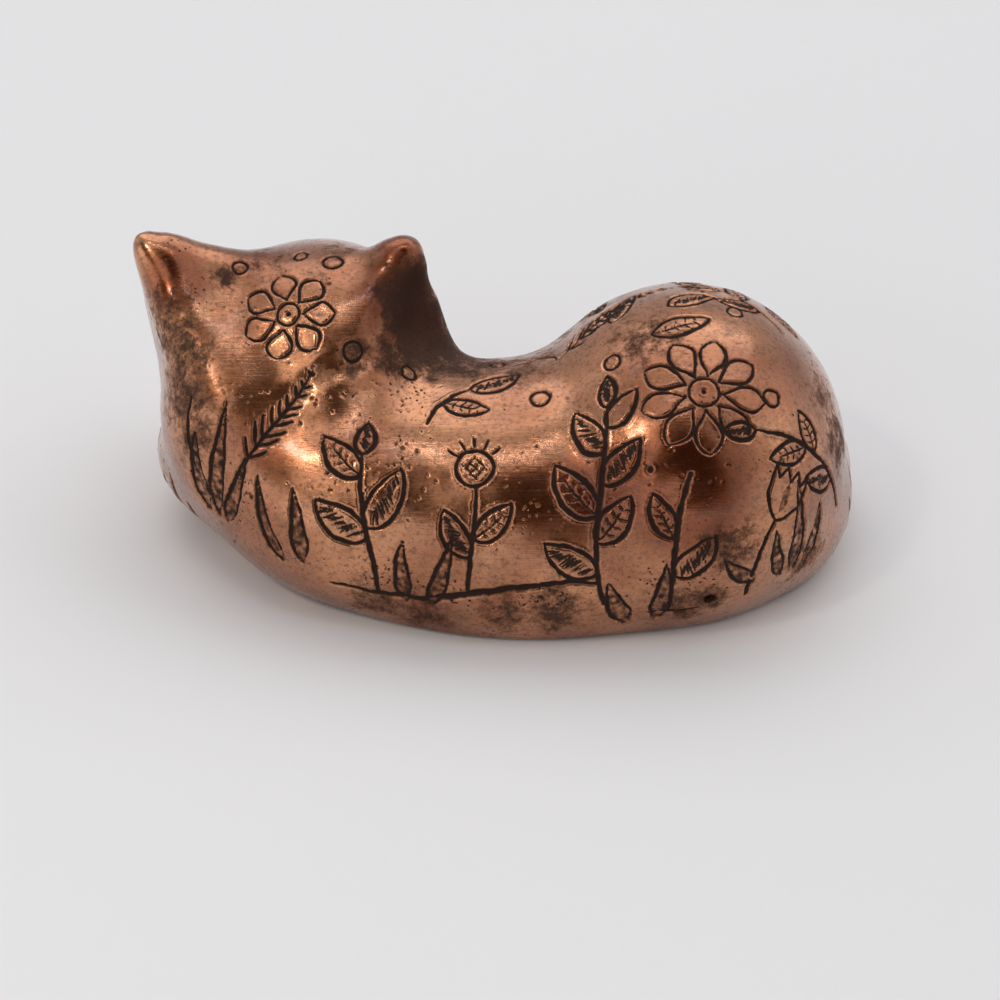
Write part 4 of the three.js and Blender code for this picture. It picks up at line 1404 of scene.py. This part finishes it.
# The lamps: place, aim, size, power, colour and form.
LAMPS = {
    "overhead": ((0.0, 0.75, 1.15), (0, 0, 0), (1.8, 1.0), 6.3),
    "strip": ((-0.05, -0.12, 1.0), (0, 0, 0.02), (0.5, 0.014), 0.3),
    "left_lamp": ((-0.56, -0.35, 0.92), (-0.02, 0, 0.02), (0.13, 0.13), 0.95, (1.0, 0.93, 0.82), "ELLIPSE"),
    "left_card": ((-0.16, -0.20, 0.26), (-0.03, 0, 0.02), (0.14, 0.16), 0.075, (1.0, 0.95, 0.88)),
}

# The room is this bright from low to high, and this is its colour.
ROOM_LEVEL = (-0.2, 0.95, 0.80, 1.0)
ROOM_TINT = (0.96, 0.99, 1.04, 1)

# Its brighter and darker parts: the bearing from the front, how far each reaches across, where it starts
# and ends upwards, how bright it is and its colour.
ROOM = {
    "behind": (180, (-0.3, 0.3), (0.5, 0.75), (2.0, 1.9), 0.50, ROOM_TINT),
    "left_window": (-56, (0.80, 0.93), (-0.3, -0.1), (0.46, 0.38), 1.2, (0.96, 0.98, 1.0, 1)),
    "above_left_window": (-50, (0.72, 0.88), (0.42, 0.50), (0.90, 0.84), 0.12, (1.0, 0.68, 0.5, 1)),
    "right_window": (92, (0.80, 0.94), (0.28, 0.4), (0.95, 0.88), 1.25, (0.98, 1.0, 1.0, 1)),
    "right_wall": (54, (0.90, 0.97), (0.25, 0.35), (0.85, 0.78), 0.58, (1.0, 0.92, 0.88, 1)),
    "front_top": (-2, (0.76, 0.90), (0.45, 0.54), (0.975, 0.955), 0.05, (1.0, 0.6, 0.42, 1)),
    "front_right": (14, (0.93, 0.985), (0.10, 0.25), (0.88, 0.82), 0.06, (1.0, 0.6, 0.42, 1)),
}

# The floor reaches this far to the front, back and sides before it sweeps up in a quarter circle.
FLOOR_DEEP, FLOOR_HALF, SWEEP, SWEEP_TOP = 1.2, 2.5, 0.6, 2.0


def studio():
    """A pale floor that sweeps up behind, a soft lamp above it, three small lamps and a room round them."""
    scene = bpy.context.scene
    floor = bpy.data.meshes.new("floor")
    rows = [(-FLOOR_DEEP, 0.0), (FLOOR_DEEP, 0.0)]
    for degrees in range(10, 91, 10):
        angle = math.radians(degrees)
        rows.append((FLOOR_DEEP + SWEEP * math.sin(angle), SWEEP - SWEEP * math.cos(angle)))
    rows.append((FLOOR_DEEP + SWEEP, SWEEP_TOP))
    corners = [(x, y, z) for y, z in rows for x in (-FLOOR_HALF, FLOOR_HALF)]
    faces = [(2 * n, 2 * n + 1, 2 * n + 3, 2 * n + 2) for n in range(len(rows) - 1)]
    floor.from_pydata(corners, [], faces)
    floor.shade_smooth()
    sweep = bpy.data.objects.new("floor", floor)
    scene.collection.objects.link(sweep)
    material, n = new_material("floor_paper")
    place = n.place()
    tone = n.mix(n.noise(place, 6.0, 2.0), (0.82, 0.82, 0.83, 1), (0.84, 0.84, 0.85, 1))
    finish_material(n, n.add("ShaderNodeBsdfPrincipled", {"Base Color": tone, "Roughness": 0.75}))
    floor.materials.append(material)

    def lamp(name, place, aim, size, power, tint=(1, 1, 1), shape="RECTANGLE"):
        data = bpy.data.lights.new(name, "AREA")
        data.shape = shape
        data.size, data.size_y = size
        data.energy = power
        data.color = tint
        light = bpy.data.objects.new(name, data)
        light.location = place
        light.rotation_euler = (Vector(aim) - Vector(place)).to_track_quat("-Z", "Y").to_euler()
        scene.collection.objects.link(light)

    for name, details in LAMPS.items():
        lamp(name, *details)

    world = bpy.data.worlds.new("studio")
    world.use_nodes = True
    world.node_tree.nodes.clear()
    n = Nodes(world.node_tree)
    aim = n.add("ShaderNodeTexCoord").outputs["Generated"]
    parts = n.add("ShaderNodeSeparateXYZ", {0: aim}).outputs
    flat = n.add("ShaderNodeCombineXYZ", {"X": parts["X"], "Y": parts["Y"], "Z": 0.0}).outputs[0]
    flat = n.vector_math("NORMALIZE", flat)[0]
    level_of = n.ramp(parts["Z"], *ROOM_LEVEL)
    tinted = ROOM_TINT
    for bearing, (wide, narrow), (low, low_soft), (high, high_soft), bright, tint in ROOM.values():
        x, y = math.sin(math.radians(bearing)), -math.cos(math.radians(bearing))
        ahead = n.vector_math("DOT_PRODUCT", flat, (x, y, 0.0))["Value"]
        patch = n.math("MULTIPLY", n.ramp(parts["Z"], low, low_soft), n.ramp(parts["Z"], high, high_soft))
        patch = n.math("MULTIPLY", patch, n.ramp(ahead, wide, narrow))
        level_of = n.math("ADD", level_of, n.math("MULTIPLY", patch, n.math("SUBTRACT", bright, level_of)))
        tinted = n.mix(patch, tinted, tint)
    lit = n.add("ShaderNodeBackground", {"Color": tinted, "Strength": level_of}).outputs[0]
    n.add("ShaderNodeOutputWorld", {"Surface": lit})
    scene.world = world

    data = bpy.data.cameras.new("camera")
    data.lens, data.sensor_width = LENS, SENSOR
    data.clip_start, data.clip_end = 0.01, 20
    camera = bpy.data.objects.new("camera", data)
    camera.location = camera_place * MM
    camera.rotation_mode = "QUATERNION"
    camera.rotation_quaternion = camera_turn
    scene.collection.objects.link(camera)
    scene.camera = camera
    scene.view_settings.view_transform = "Standard"


studio()
